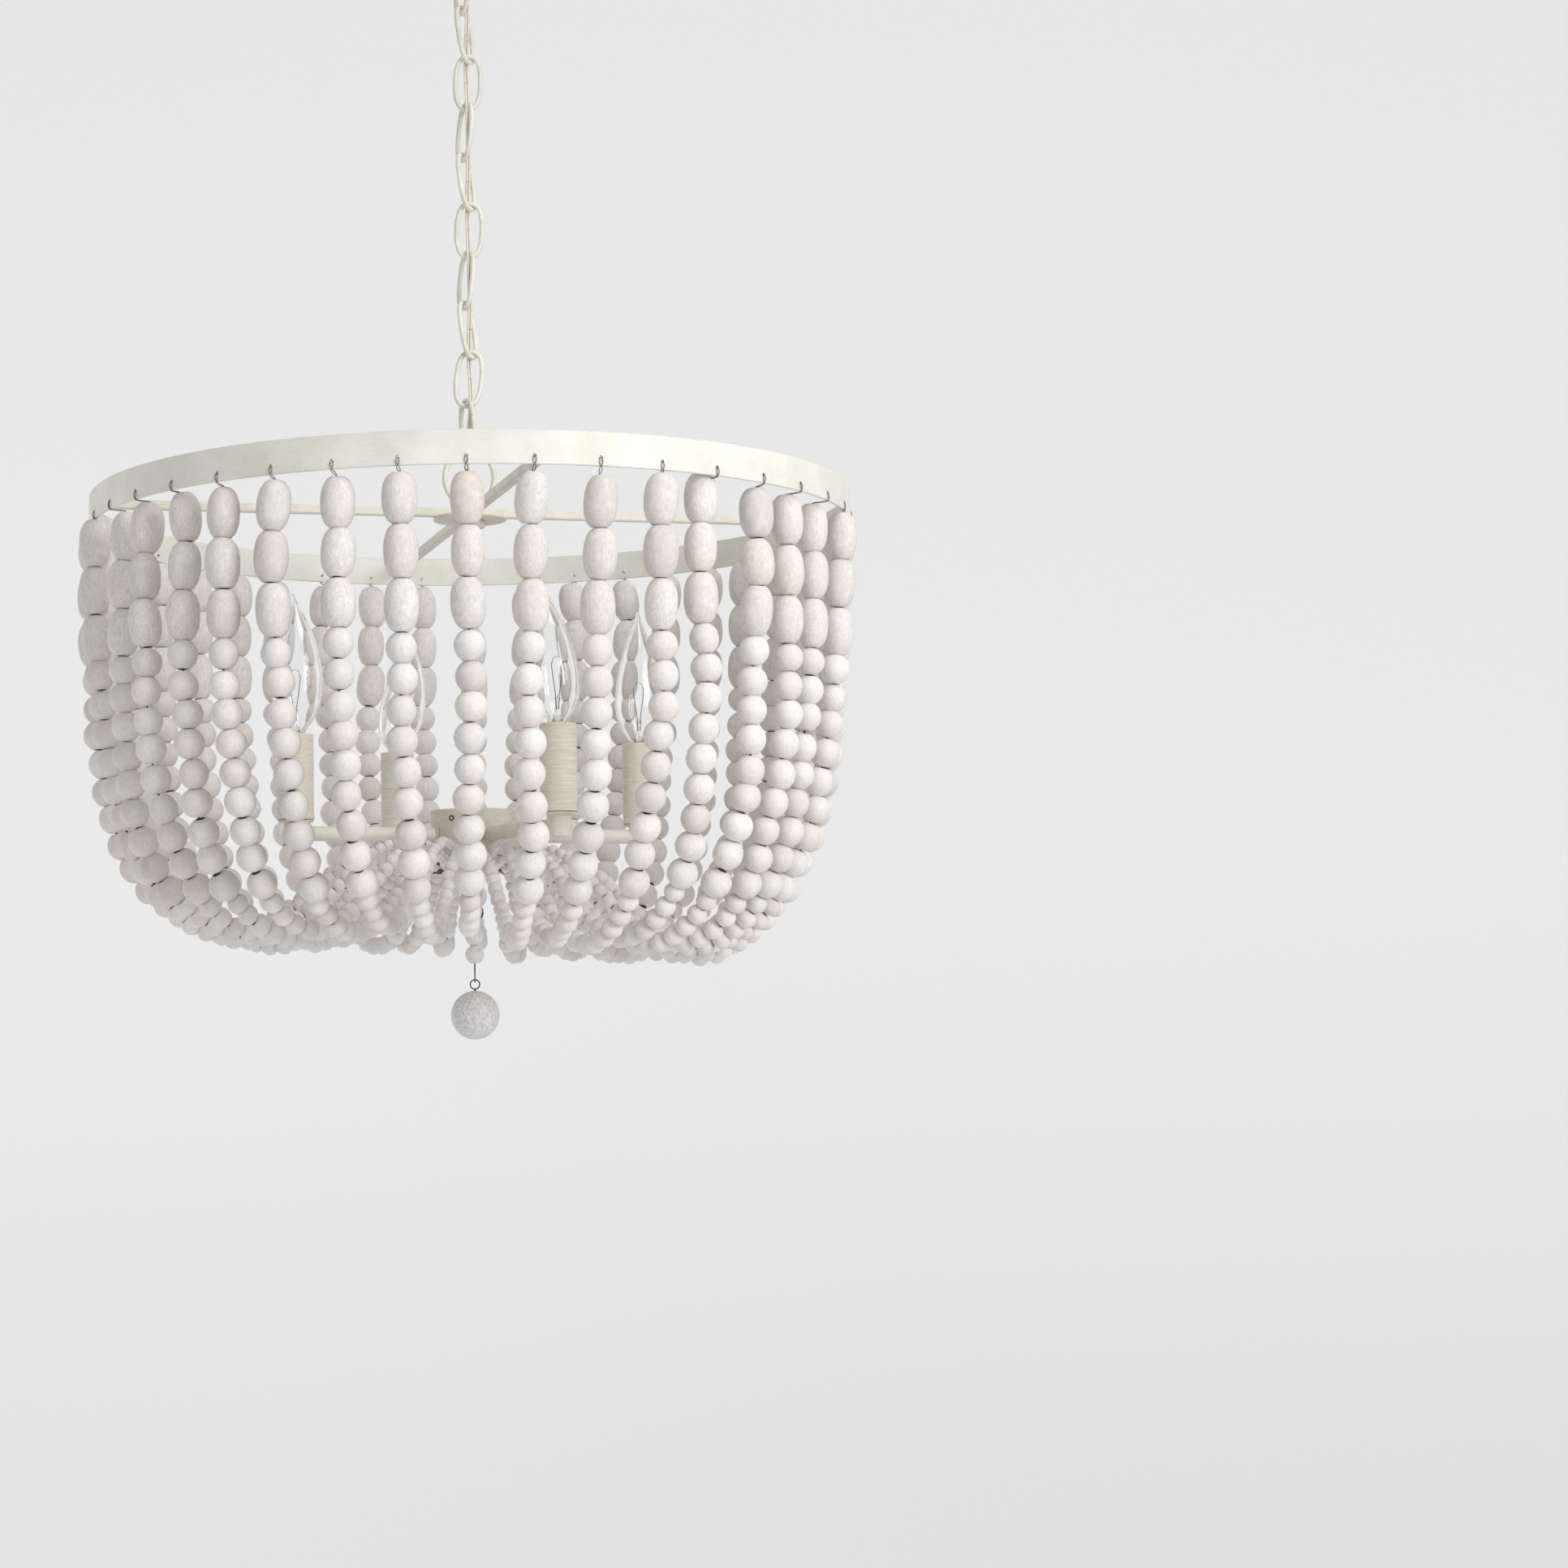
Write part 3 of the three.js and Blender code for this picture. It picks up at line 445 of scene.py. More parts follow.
# Drawn or pressed metal, handled and a little dulled. It gives a soft sheen, broken by darker tarnish
def dulled_metal(name, ground, rough, metallic=1.0):
    return finish(name, ground, {"tarnish": (0.8333, 3, 0.55)}, [("#2B2825", ("tarnish", 0.3, 0.7, 0.4))],
                  ("tarnish", 0.3, 0.7, rough - 0.06, rough + 0.12), Metallic=metallic)


# Moulded plastic or waxed yarn. It gives an even, quiet colour with a faint greyed bloom
def even_matt(name, ground, rough):
    return finish(name, ground, {"bloom": (2, 3, 0.55)}, [("#8F8A80", ("bloom", 0.3, 0.7, 0.2))],
                  rough, ("bloom", 0.04, 0.4))


FRAME_ENAMEL = brushed_enamel("brushed_enamel_frame")
BAND_ENAMEL = brushed_enamel("brushed_enamel_band", "#E8E6DD", "#DAD7CB")
CHAIN_ENAMEL = brushed_enamel("brushed_enamel_chain", "#EDEAE0", "#D5D0C2", "#7A7064", 0.5)
BEAD_WOOD = whitewashed_beech()
# The frame's enamel, made darker for the hub
HUB_ENAMEL = brushed_enamel("brushed_enamel_hub", "#CFC9BC", "#BFB8A9")
# Card tube, painted round and round with a dry brush. It gives close level lines of two creams
SLEEVE_CARD = finish(
    "dry_brushed_card", "#D6CDBC", {"line": (2, 5, 0.8, (0.1, 0.1, 2.2)), "cloud": (16.67, 3, 0.55)},
    [("#F0EBDF", ("line", 0.38, 0.64, 1)), ("#D5CCBC", ("cloud", 0.4, 0.7, 0.3))], 0.7, ("line", 0.15, 0.6))
# Blown soda-lime glass. It gives sharp reflections that waver a little, as hand-drawn glass does
BULB_GLASS = finish("blown_glass", "#FFFFFF", {"waver": (20, 2, 0.55)}, [], 0.0, ("waver", 0.25, 0.25),
                    IOR=1.45, Transmission_Weight=1.0)
HOOK_WIRE = dulled_metal("drawn_steel_hook_wire", "#9C9993", 0.36)
EYE_WIRE = dulled_metal("aged_brass_wire", "#6A5E52", 0.32)
BASE_BRASS = dulled_metal("pressed_brass", "#B99B62", 0.32)
LEAD_WIRE = dulled_metal("drawn_nickel_wire", "#4A4642", 0.35)
# The string through the beads is real, but its dark colour is painted shade: it shows as the dark line in each gap
# between beads
BEAD_STRING_IN_GAP_SHADE = even_matt("flax_string_dark_as_gap_shade", "#5A4E44", 0.8)
# Extruded vinyl on the lamp cord. It gives a smooth cream with a low sheen
CORD_VINYL = finish("extruded_vinyl", "#E9E4D6", {"sheen": (1.25, 3, 0.55)},
                    [("#DAD3C2", ("sheen", 0.3, 0.7, 1))], 0.45, ("sheen", 0.05, 0.4))
# The web between the cord's two wires, coloured far darker than the vinyl: painted shade in the groove
CORD_GROOVE_SHADE = even_matt("vinyl_web_painted_groove_shade", "#A98F7C", 0.6)
SOCKET_PLASTIC = even_matt("moulded_phenolic", "#D8D4C8", 0.5)
ZINC_SCREW = dulled_metal("zinc_plated_steel", "#A9A8A4", 0.4)
# Blackened by its oxide, so it has no metal sheen left
SET_SCREW = dulled_metal("blackened_steel", "#241E1A", 0.85, 0.0)
# Beech with a grey wash. It gives the ball short pale fibres and cool clouds
BALL_WOOD = finish(
    "grey_washed_beech", "#EEEDED", {"fibre": (1.25, 5, 0.8, (1, 1, 0.6)), "cloud": (8.333, 4, 0.55)},
    [("#BBB9B9", ("fibre", 0.4, 0.6, 1)), ("#D2D0D0", ("cloud", 0.4, 0.7, 0.5))], 0.75, ("fibre", 0.12, 0.6))


# Geometry Nodes
class Growth:
    """A node tree with named inputs for its sizes. It ends in Realize Instances and Set Material."""

    def __init__(self, name, **inputs):
        self.tree = bpy.data.node_groups.new(name, "GeometryNodeTree")
        face = self.tree.interface
        face.new_socket("Geometry", in_out="INPUT", socket_type="NodeSocketGeometry")
        kinds = {float: "NodeSocketFloat", int: "NodeSocketInt"}
        self.identifiers = {}
        for label, value in inputs.items():
            kind = "NodeSocketMaterial" if value is None else kinds[type(value)]
            socket = face.new_socket(label.replace("_", " "), in_out="INPUT", socket_type=kind)
            if value is not None:
                socket.default_value = value
            self.identifiers[label] = socket.identifier
        face.new_socket("Geometry", in_out="OUTPUT", socket_type="NodeSocketGeometry")
        given = self.tree.nodes.new("NodeGroupInput")
        self.value = {label: given.outputs[label.replace("_", " ")] for label in ("Geometry", *inputs)}

    def end(self, geometry):
        node = partial(add_node, self.tree)
        real = node("GeometryNodeRealizeInstances", {"Geometry": geometry}).outputs[0]
        smooth = node("GeometryNodeSetShadeSmooth", {"Geometry": real}).outputs[0]
        painted = node("GeometryNodeSetMaterial", {"Geometry": smooth, "Material": self.value["Paint"]}).outputs[0]
        node("NodeGroupOutput", {0: painted})
        return self


def grown(base, growth, name, **values):
    """Runs a tree on a base object and keeps the result as a plain mesh under its own name."""
    modifier = base.modifiers.new("growth", "NODES")
    modifier.node_group = growth.tree
    for label, value in values.items():
        modifier[growth.identifiers[label]] = value
    bpy.context.view_layer.update()
    graph = bpy.context.evaluated_depsgraph_get()
    mesh = bpy.data.meshes.new_from_object(base.evaluated_get(graph))
    base.modifiers.remove(modifier)
    old = base.data
    bpy.data.objects.remove(base)
    bpy.data.meshes.remove(old)
    mesh.name = name
    obj = bpy.data.objects.new(name, mesh)
    bpy.context.scene.collection.objects.link(obj)
    return obj


def points_object(centre, **attributes):
    """A mesh of loose points in mm, with attributes of one value for each."""
    obj = mesh_object("points", np.array(centre) * MM, [])
    for name, values in attributes.items():
        values = np.asarray(values)
        if values.ndim == 2:
            made = obj.data.attributes.new(name, "FLOAT_VECTOR", "POINT")
            made.data.foreach_set("vector", values.astype(np.float32).ravel())
        elif values.dtype.kind == "i":
            made = obj.data.attributes.new(name, "INT", "POINT")
            made.data.foreach_set("value", values.astype(np.int32))
        else:
            made = obj.data.attributes.new(name, "FLOAT", "POINT")
            made.data.foreach_set("value", values.astype(np.float32))
    return obj


def line_object(*lines):
    """A mesh of lines of points in mm."""
    mesh = bpy.data.meshes.new("line")
    verts, edges = [], []
    for points in lines:
        edges += [(len(verts) + i, len(verts) + i + 1) for i in range(len(points) - 1)]
        verts += [tuple(p) for p in np.array(points) * MM]
    mesh.from_pydata(verts, edges, [])
    obj = bpy.data.objects.new("line", mesh)
    bpy.context.scene.collection.objects.link(obj)
    return obj


def bead_growth():
    """Beads on points: an oval, a round or a small one, turned along the string, each with its ends cut flat."""
    g = Growth("beads_on_a_string", Oval_sides=24, Round_sides=20, Small_sides=12,
               Oval_fullness=2.4, Round_fullness=2.0, Oval_cut=OVAL_CUT, Round_cut=ROUND_CUT, Paint=None)
    node = partial(add_node, g.tree)
    where = node("GeometryNodeInputPosition").outputs[0]
    along, size = [node("GeometryNodeInputNamedAttribute", {"Name": label}, data_type="FLOAT_VECTOR").outputs[0]
                   for label in ("along", "size")]
    spin = node("GeometryNodeInputNamedAttribute", {"Name": "spin"}, data_type="FLOAT").outputs[0]
    kind = node("GeometryNodeInputNamedAttribute", {"Name": "kind"}, data_type="INT").outputs[0]

    def turned_bead(sides, rings, fullness, cut):
        """A ball, drawn out to the bead's full outline between its two flat ends."""
        ball = node("GeometryNodeMeshUVSphere", {"Segments": sides, "Rings": rings, "Radius": 1.0})
        x, y, z = node("ShaderNodeSeparateXYZ", {"Vector": where}).outputs
        found = {"x": x, "y": y, "z": z, "fullness": fullness, "cut": cut}
        for label, operation, first, second in (
                # How far a point of the ball stands from the string
                ("x_x", "MULTIPLY", "x", "x"), ("y_y", "MULTIPLY", "y", "y"), ("reach", "ADD", "x_x", "y_y"),
                ("reach", "POWER", "reach", 0.5), ("reach", "MAXIMUM", "reach", 0.001),
                # Its height, with the ball's end rings on the flat cuts
                ("level", "MULTIPLY", "z", 1 / math.cos(math.pi / rings)), ("level", "MINIMUM", "level", 1.0),
                ("level", "MAXIMUM", "level", -1.0), ("level", "MULTIPLY", "level", "cut"),
                # The bead's radius at that height, and where the point goes
                ("wide", "ABSOLUTE", "level", 0.0), ("wide", "POWER", "wide", "fullness"),
                ("wide", "SUBTRACT", 1.0, "wide"), ("root", "DIVIDE", 1.0, "fullness"),
                ("wide", "POWER", "wide", "root"), ("spread", "DIVIDE", "wide", "reach"),
                ("x", "MULTIPLY", "x", "spread"), ("y", "MULTIPLY", "y", "spread")):
            terms = {0: found.get(first, first), 1: found.get(second, second)}
            found[label] = node("ShaderNodeMath", terms, operation=operation).outputs[0]
        shaped = node("ShaderNodeCombineXYZ", {"X": found["x"], "Y": found["y"], "Z": found["level"]}).outputs[0]
        moved = node("GeometryNodeSetPosition", {"Geometry": ball.outputs["Mesh"], "Position": shaped}).outputs[0]
        return node("GeometryNodeStoreNamedAttribute", {"Geometry": moved, "Name": "bead_place", "Value": where},
                    data_type="FLOAT_VECTOR", domain="POINT").outputs[0]

    turn = node("FunctionNodeAlignRotationToVector", {"Vector": along}, axis="Z").outputs[0]
    spun = node("FunctionNodeAxisAngleToRotation", {"Axis": (0, 0, 1), "Angle": spin}).outputs[0]
    turn = node("FunctionNodeRotateRotation", {"Rotation": turn, "Rotate By": spun}, rotation_space="LOCAL").outputs[0]
    joined = node("GeometryNodeJoinGeometry")
    for number, sides, rings, form in ((OVAL, "Oval", 14, "Oval"), (ROUND, "Round", 12, "Round"),
                                       (SMALL, "Small", 8, "Round")):
        chosen = node("FunctionNodeCompare", data_type="INT", operation="EQUAL")
        g.tree.links.new(kind, chosen.inputs[2])
        chosen.inputs[3].default_value = number
        bead = turned_bead(g.value[f"{sides}_sides"], rings, g.value[f"{form}_fullness"], g.value[f"{form}_cut"])
        placed = node("GeometryNodeInstanceOnPoints", {
            "Points": g.value["Geometry"], "Selection": chosen.outputs[0], "Instance": bead, "Rotation": turn,
            "Scale": size}).outputs[0]
        g.tree.links.new(placed, joined.inputs[0])
    return g.end(joined.outputs[0])


def wire_growth():
    """Round wire or string along a line."""
    g = Growth("wire_along_a_line", Radius=0.001, Sides=8, Paint=None)
    node = partial(add_node, g.tree)
    curve = node("GeometryNodeMeshToCurve", {"Mesh": g.value["Geometry"]}).outputs[0]
    section = node("GeometryNodeCurvePrimitiveCircle", {
        "Resolution": g.value["Sides"], "Radius": g.value["Radius"]}).outputs[0]
    return g.end(node("GeometryNodeCurveToMesh", {
        "Curve": curve, "Profile Curve": section, "Fill Caps": True}).outputs[0])


def link_growth():
    """A chain link: a long oval of round wire, turned, hung at its level and leaning a little across the view."""
    g = Growth("chain_link_form", Half_width=LINK_HALF_WIDTH * MM, Half_length=LINK_HALF_LENGTH * MM, Fullness=0.8,
               Wire_radius=1.55 * MM, Level=0.0, Shift=0.0, Depth=0.0, Turn=0.0, Tip=0.0, Lean=0.0, Paint=None)
    node = partial(add_node, g.tree)
    ring = node("GeometryNodeCurvePrimitiveCircle", {"Resolution": 48, "Radius": 1.0}).outputs[0]
    where = node("GeometryNodeInputPosition").outputs[0]
    found = dict(zip(("across", "along"), node("ShaderNodeSeparateXYZ", {"Vector": where}).outputs))
    # Each side is fuller than an ellipse's
    for share, half in (("across", "Half_width"), ("along", "Half_length")):
        for label, operation, first, second in (
                ("side", "SIGN", share, 0.0), ("size", "ABSOLUTE", share, 0.0), ("size", "POWER", "size", "Fullness"),
                ("size", "MULTIPLY", "side", "size"), (share, "MULTIPLY", "size", half)):
            terms = {k: found.get(term, g.value.get(term, term)) for k, term in enumerate((first, second))}
            found[label] = node("ShaderNodeMath", terms, operation=operation).outputs[0]
    oval = node("ShaderNodeCombineXYZ", {"X": found["across"], "Z": found["along"]}).outputs[0]
    line = node("GeometryNodeSetPosition", {"Geometry": ring, "Position": oval}).outputs[0]
    section = node("GeometryNodeCurvePrimitiveCircle", {"Resolution": 12, "Radius": g.value["Wire_radius"]}).outputs[0]
    link = node("GeometryNodeCurveToMesh", {"Curve": line, "Profile Curve": section}).outputs[0]
    for axis, label in (("Z", "Turn"), ("X", "Tip"), ("Y", "Lean")):
        angle = node("ShaderNodeMath", {0: g.value[label], 1: math.pi / 180}, operation="MULTIPLY").outputs[0]
        angles = node("ShaderNodeCombineXYZ", {axis: angle}).outputs[0]
        link = node("GeometryNodeTransform", {"Geometry": link, "Rotation": angles}).outputs[0]
    level = node("ShaderNodeCombineXYZ", {
        "X": g.value["Shift"], "Y": g.value["Depth"], "Z": g.value["Level"]}).outputs[0]
    return g.end(node("GeometryNodeTransform", {"Geometry": link, "Translation": level}).outputs[0])


BEADS = bead_growth()
WIRES = wire_growth()
LINK = link_growth()


# Smooth lines
def eased(points, steps=24):
    """A centripetal line through the points, as a dense row of points."""
    p = np.array(points, float)
    p = np.vstack([2 * p[0] - p[1], p, 2 * p[-1] - p[-2]])
    out = []
    for i in range(1, len(p) - 2):
        p0, p1, p2, p3 = p[i - 1:i + 3]
        d0, d1, d2 = [max(np.linalg.norm(b - a), 1e-6) ** 0.5 for a, b in ((p0, p1), (p1, p2), (p2, p3))]
        t1 = ((p1 - p0) / d0 - (p2 - p0) / (d0 + d1) + (p2 - p1) / d1) * d1
        t2 = ((p2 - p1) / d1 - (p3 - p1) / (d1 + d2) + (p3 - p2) / d2) * d1
        for u in np.arange(steps) / steps:
            h = (2 * u ** 3 - 3 * u ** 2 + 1, u ** 3 - 2 * u ** 2 + u, -2 * u ** 3 + 3 * u ** 2, u ** 3 - u ** 2)
            out.append(h[0] * p1 + h[1] * t1 + h[2] * p2 + h[3] * t2)
    out.append(p[-2])
    return np.array(out)


def lengths_along(line):
    return np.concatenate([[0], np.cumsum(np.linalg.norm(np.diff(line, axis=0), axis=1))])


def at_length(line, lengths, s):
    return np.array([np.interp(s, lengths, line[:, k]) for k in range(line.shape[1])]).T


# Lamp cord: two wires side by side, through every link, one span from the middle of each link to the next
WIRE_RADIUS = 0.78
WIRE_OFFSET = 0.82
CORD_REACH = 4.9
CORD_AT = [(-2.0, -3.3), (1.5, 0), (0.5, 6.1), (1.2, -3.8), (1.5, 0), (0.5, 6.1), (1.1, -3.8), (1.5, 0), (0.5, 6.1),
           (1.6, -2.0), (-1.3, -3.6)]


def cord_route():
    levels = [TOP_JOINT_Z] + [FIRST_LINK_Z - LINK_HALF_LENGTH - LINK_PITCH * k for k in range(LINK_COUNT)]
    passes = [(x, y, z + JOINT_HALF_STEP) for (x, y), z in zip(CORD_AT, levels)]
    return eased([(0, CORD_REACH, NIPPLE_MOUTH_Z), (0, CORD_REACH, -46.75), *passes,
                  (0, -CORD_REACH, FOOT_TOP_Z + 8.75), (0, -CORD_REACH, FOOT_TOP_Z + 0.3)])


def lamp_cord():
    line = cord_route()
    levels = [line[0][2]] + [FIRST_LINK_Z - LINK_PITCH * k for k in range(LINK_COUNT)] + [line[-1][2]]
    for k in range(LINK_COUNT + 1):
        low, high = levels[k + 1], levels[k]
        inside = line[(line[:, 2] < high - 0.05) & (line[:, 2] > low + 0.05)]
        order = np.argsort(-line[:, 2])
        ends = [np.array([np.interp(-z, -line[order, 2], line[order, c]) for c in range(3)]) for z in (high, low)]
        span = np.vstack([ends[0], inside[np.argsort(-inside[:, 2])], ends[1]])
        pair = Shape()
        for side in (-WIRE_OFFSET, WIRE_OFFSET):
            pair.tube(span + (side, 0, 0), WIRE_RADIUS, 10)
        # A thin web in the groove between the wires, dark as painted shade of the groove
        pair.tube(span + (0, 0.1, 0), 0.3, 6, slot=1)
        piece = pair.made(f"lamp_cord_{k + 1:02d}", CORD_VINYL, CORD_GROOVE_SHADE, crisp=0)
        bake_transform(piece)
        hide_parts("lamp_cord")


lamp_cord()

# The chain hangs in a slight zigzag: how far each joint stands off the axis
JOINT_SHIFTS = [(0, 0), (-2.3, 2.8), (2.2, 2.8), (0.9, 0), (-2.4, 3.2), (2.1, 2.8), (0.8, 0), (-2.5, 3.2), (2.1, 2.8),
                (-1.6, 0), (0, 0)]


def chain():
    for k in range(LINK_COUNT):
        name = f"chain_link_{k + 1:02d}"
        above, below = [np.array(shift) for shift in JOINT_SHIFTS[k:k + 2]]
        way = np.array((*(above - below), LINK_PITCH))
        middle = (above + below) / 2 * MM
        link = grown(line_object([(0, 0, 0), (0, 0, -1)]), LINK, f"{name}_wire",
                     Half_length=LINK_HALF_LENGTH * MM * np.linalg.norm(way) / LINK_PITCH,
                     Level=(FIRST_LINK_Z - LINK_PITCH * k) * MM, Shift=middle[0], Depth=middle[1],
                     Turn=LINK_TWIST * (k + 1), Tip=-math.degrees(math.atan2(way[1], math.hypot(way[0], way[2]))),
                     Lean=math.degrees(math.atan2(way[0], way[2])), Paint=CHAIN_ENAMEL)
        settle(link, name, "painted_steel", name)


chain()

# Ceiling fitting: outlines of (radius, height) round the light's axis or a screw's
STRAP_SIZE = (102, 16, 2.5)
STRAP_SCREW_REACH = 44.5
SCREW_HEAD = [(0, -5.6), (3.2, -5.2), (3.9, -4.2), (4.0, -2.6), (0, -2.6)]
SCREW_SHANK = rod_outline(1.9, -18, -5)
LOCKNUT = [(4.8, -6.3), (9, -6.3), (9, -2.8), (4.8, -2.8)]
NIPPLE = [(0, -23)] + arc(4.4, -0.95, 0.4, 0, 90, 2) + [(0, -0.55)]
LOOP_BASE = [(0, -38)] + arc(11.8, -36.8, 1.2, -90, 0, 4) + [(13, -21), (0, -21)]
COLLAR = [(13.6, -35.8)] + arc(15.9, -34.2, 1.6, -90, 0, 4) + arc(17.1, -28.7, 0.4, 0, 90, 2) + [(13.6, -28.3)]
CANOPY_HOLE, CANOPY_FLAT, CANOPY_REACH, CANOPY_DEPTH, CANOPY_SKIRT, CANOPY_WALL = 13.5, 19, 44.5, 25, 3, 1.2


def canopy_outline():
    """A shallow dome with a flat middle, a straight skirt and an eased rim, as one thin wall."""
    rim = CANOPY_FLAT + CANOPY_REACH
    walls = []
    for inset, degrees in ((0, range(6, 91, 6)), (CANOPY_WALL, range(90, 5, -6))):
        walls.append([(CANOPY_FLAT + (CANOPY_REACH - inset) * math.sin(math.radians(a)),
                       -CANOPY_SKIRT - (CANOPY_DEPTH - inset) * math.cos(math.radians(a))) for a in degrees])
    outside, inside = -CANOPY_SKIRT - CANOPY_DEPTH, CANOPY_WALL - CANOPY_SKIRT - CANOPY_DEPTH
    return [(CANOPY_HOLE, outside), (CANOPY_FLAT, outside), *walls[0], (rim, -0.5), (rim - 0.4, 0),
            (rim - CANOPY_WALL, 0), *walls[1], (CANOPY_FLAT, inside), (CANOPY_HOLE, inside)]


def ceiling_fitting():
    strap = Shape().bar(STRAP_SIZE, (0, 0, -STRAP_SIZE[2] / 2), 0, 0.5)
    for side in (-STRAP_SCREW_REACH, STRAP_SCREW_REACH):
        strap.lathe(SCREW_HEAD, 20, (side, 0, 0), slot=1)
        strap.lathe(SCREW_SHANK, 12, (side, 0, 0), slot=1)
    settle(strap.made("ceiling_strap_plate", FRAME_ENAMEL, ZINC_SCREW),
           "ceiling_fitting", "painted_steel", "ceiling_strap")
    settle(Shape().lathe(canopy_outline(), 96, closed=True).made("canopy_dome", FRAME_ENAMEL, crisp=50),
           "ceiling_fitting", "painted_steel", "canopy")
    loop = Shape().tube(loop_line(LOOP_HALF_WIDTH, LOOP_HALF_HEIGHT, CANOPY_LOOP_Z), LOOP_WIRE_RADIUS, 12, closed=True)
    loop.lathe(NIPPLE, 16).lathe(LOCKNUT, 6).lathe(LOOP_BASE, 48)
    settle(loop.made("canopy_loop_casting", FRAME_ENAMEL), "ceiling_fitting", "painted_steel", "canopy_loop")
    settle(Shape().lathe(COLLAR, 64, closed=True).made("canopy_collar_ring", FRAME_ENAMEL),
           "canopy_collar", "painted_steel", "canopy_collar")


ceiling_fitting()

# Frame loop, crossed bars, coupling and stem
BAR_SIZE = (467.4, 5.5, 5.5)
BAR_DEGREES = (12, 102)
PLATE_RADIUS = 23.0
PLATE_HOLE = 4.5
COUPLING_HOLE = 5.0
STEM_RADIUS = 4.75


def frame_top():
    loop = Shape().tube(loop_line(LOOP_HALF_WIDTH, LOOP_HALF_HEIGHT, FOOT_TOP_Z + LOOP_HALF_HEIGHT),
                        LOOP_WIRE_RADIUS, 12, closed=True)
    loop.lathe([(0, FOOT_TOP_Z - 2.8)] + arc(7.2, FOOT_TOP_Z - 2.0, 0.8, -90, 0, 3)
               + arc(6.6, FOOT_TOP_Z - 1.4, 1.4, 0, 90, 4) + [(0, FOOT_TOP_Z)], 32)
    loop.lathe(rod_outline(4, BAR_Z - 15.5, FOOT_TOP_Z - 2), 20)
    settle(loop.made("frame_loop_wire", FRAME_ENAMEL), "fixture", "painted_steel", "frame_loop")

    bars = Shape()
    for degrees in BAR_DEGREES:
        bars.bar(BAR_SIZE, (0, 0, BAR_Z + LIFT), degrees, 0.55)
    low, ease = BAR_Z + LIFT - 4.75, 0.7
    plate = [(PLATE_HOLE, low)] + arc(PLATE_RADIUS - ease, low + ease, ease, -90, 0, 3)
    plate += arc(PLATE_RADIUS - ease, low + 1.3, ease, 0, 90, 3) + [(PLATE_HOLE, low + 2)]
    bars.lathe(plate, 64, closed=True)
    settle(bars.made("crossed_bars_and_plate", FRAME_ENAMEL), "fixture", "painted_steel", "crossed_bars")

    top, ease = BAR_Z + LIFT - 5.05, 0.6
    coupling = [(COUPLING_HOLE, top - 15.9)] + arc(5.9, top - 15.4, ease, -90, 0, 2) + [(6.5, top - 5)]
    coupling += arc(8.8, top - 3.6, ease, -90, 0, 3) + arc(8.8, top - ease, ease, 0, 90, 3) + [(COUPLING_HOLE, top)]
    settle(Shape().lathe(coupling, 40, closed=True).made("stem_coupling_nut", FRAME_ENAMEL),
           "fixture", "painted_steel", "stem_coupling")

    stem = [(0, HUB_TOP_Z - 9), (STEM_RADIUS, HUB_TOP_Z - 9), (STEM_RADIUS, HUB_TOP_Z + 0.3), (5.8, HUB_TOP_Z + 0.3)]
    stem += arc(5.8, HUB_TOP_Z + 0.9, ease, -90, 0, 2)[1:] + arc(5.8, HUB_TOP_Z + 2.7, ease, 0, 90, 3)
    stem += [(STEM_RADIUS, HUB_TOP_Z + 3.4), (STEM_RADIUS, top - 13), (0, top - 13)]
    settle(Shape().lathe(stem, 32).made("stem_tube", FRAME_ENAMEL), "fixture", "painted_steel", "stem")


frame_top()

HOLE_RADIUS = 1.25
HOLE_CORNERS = 8
HOLE_WINDOW = 2.2
BAND_HALF_WALL = 1


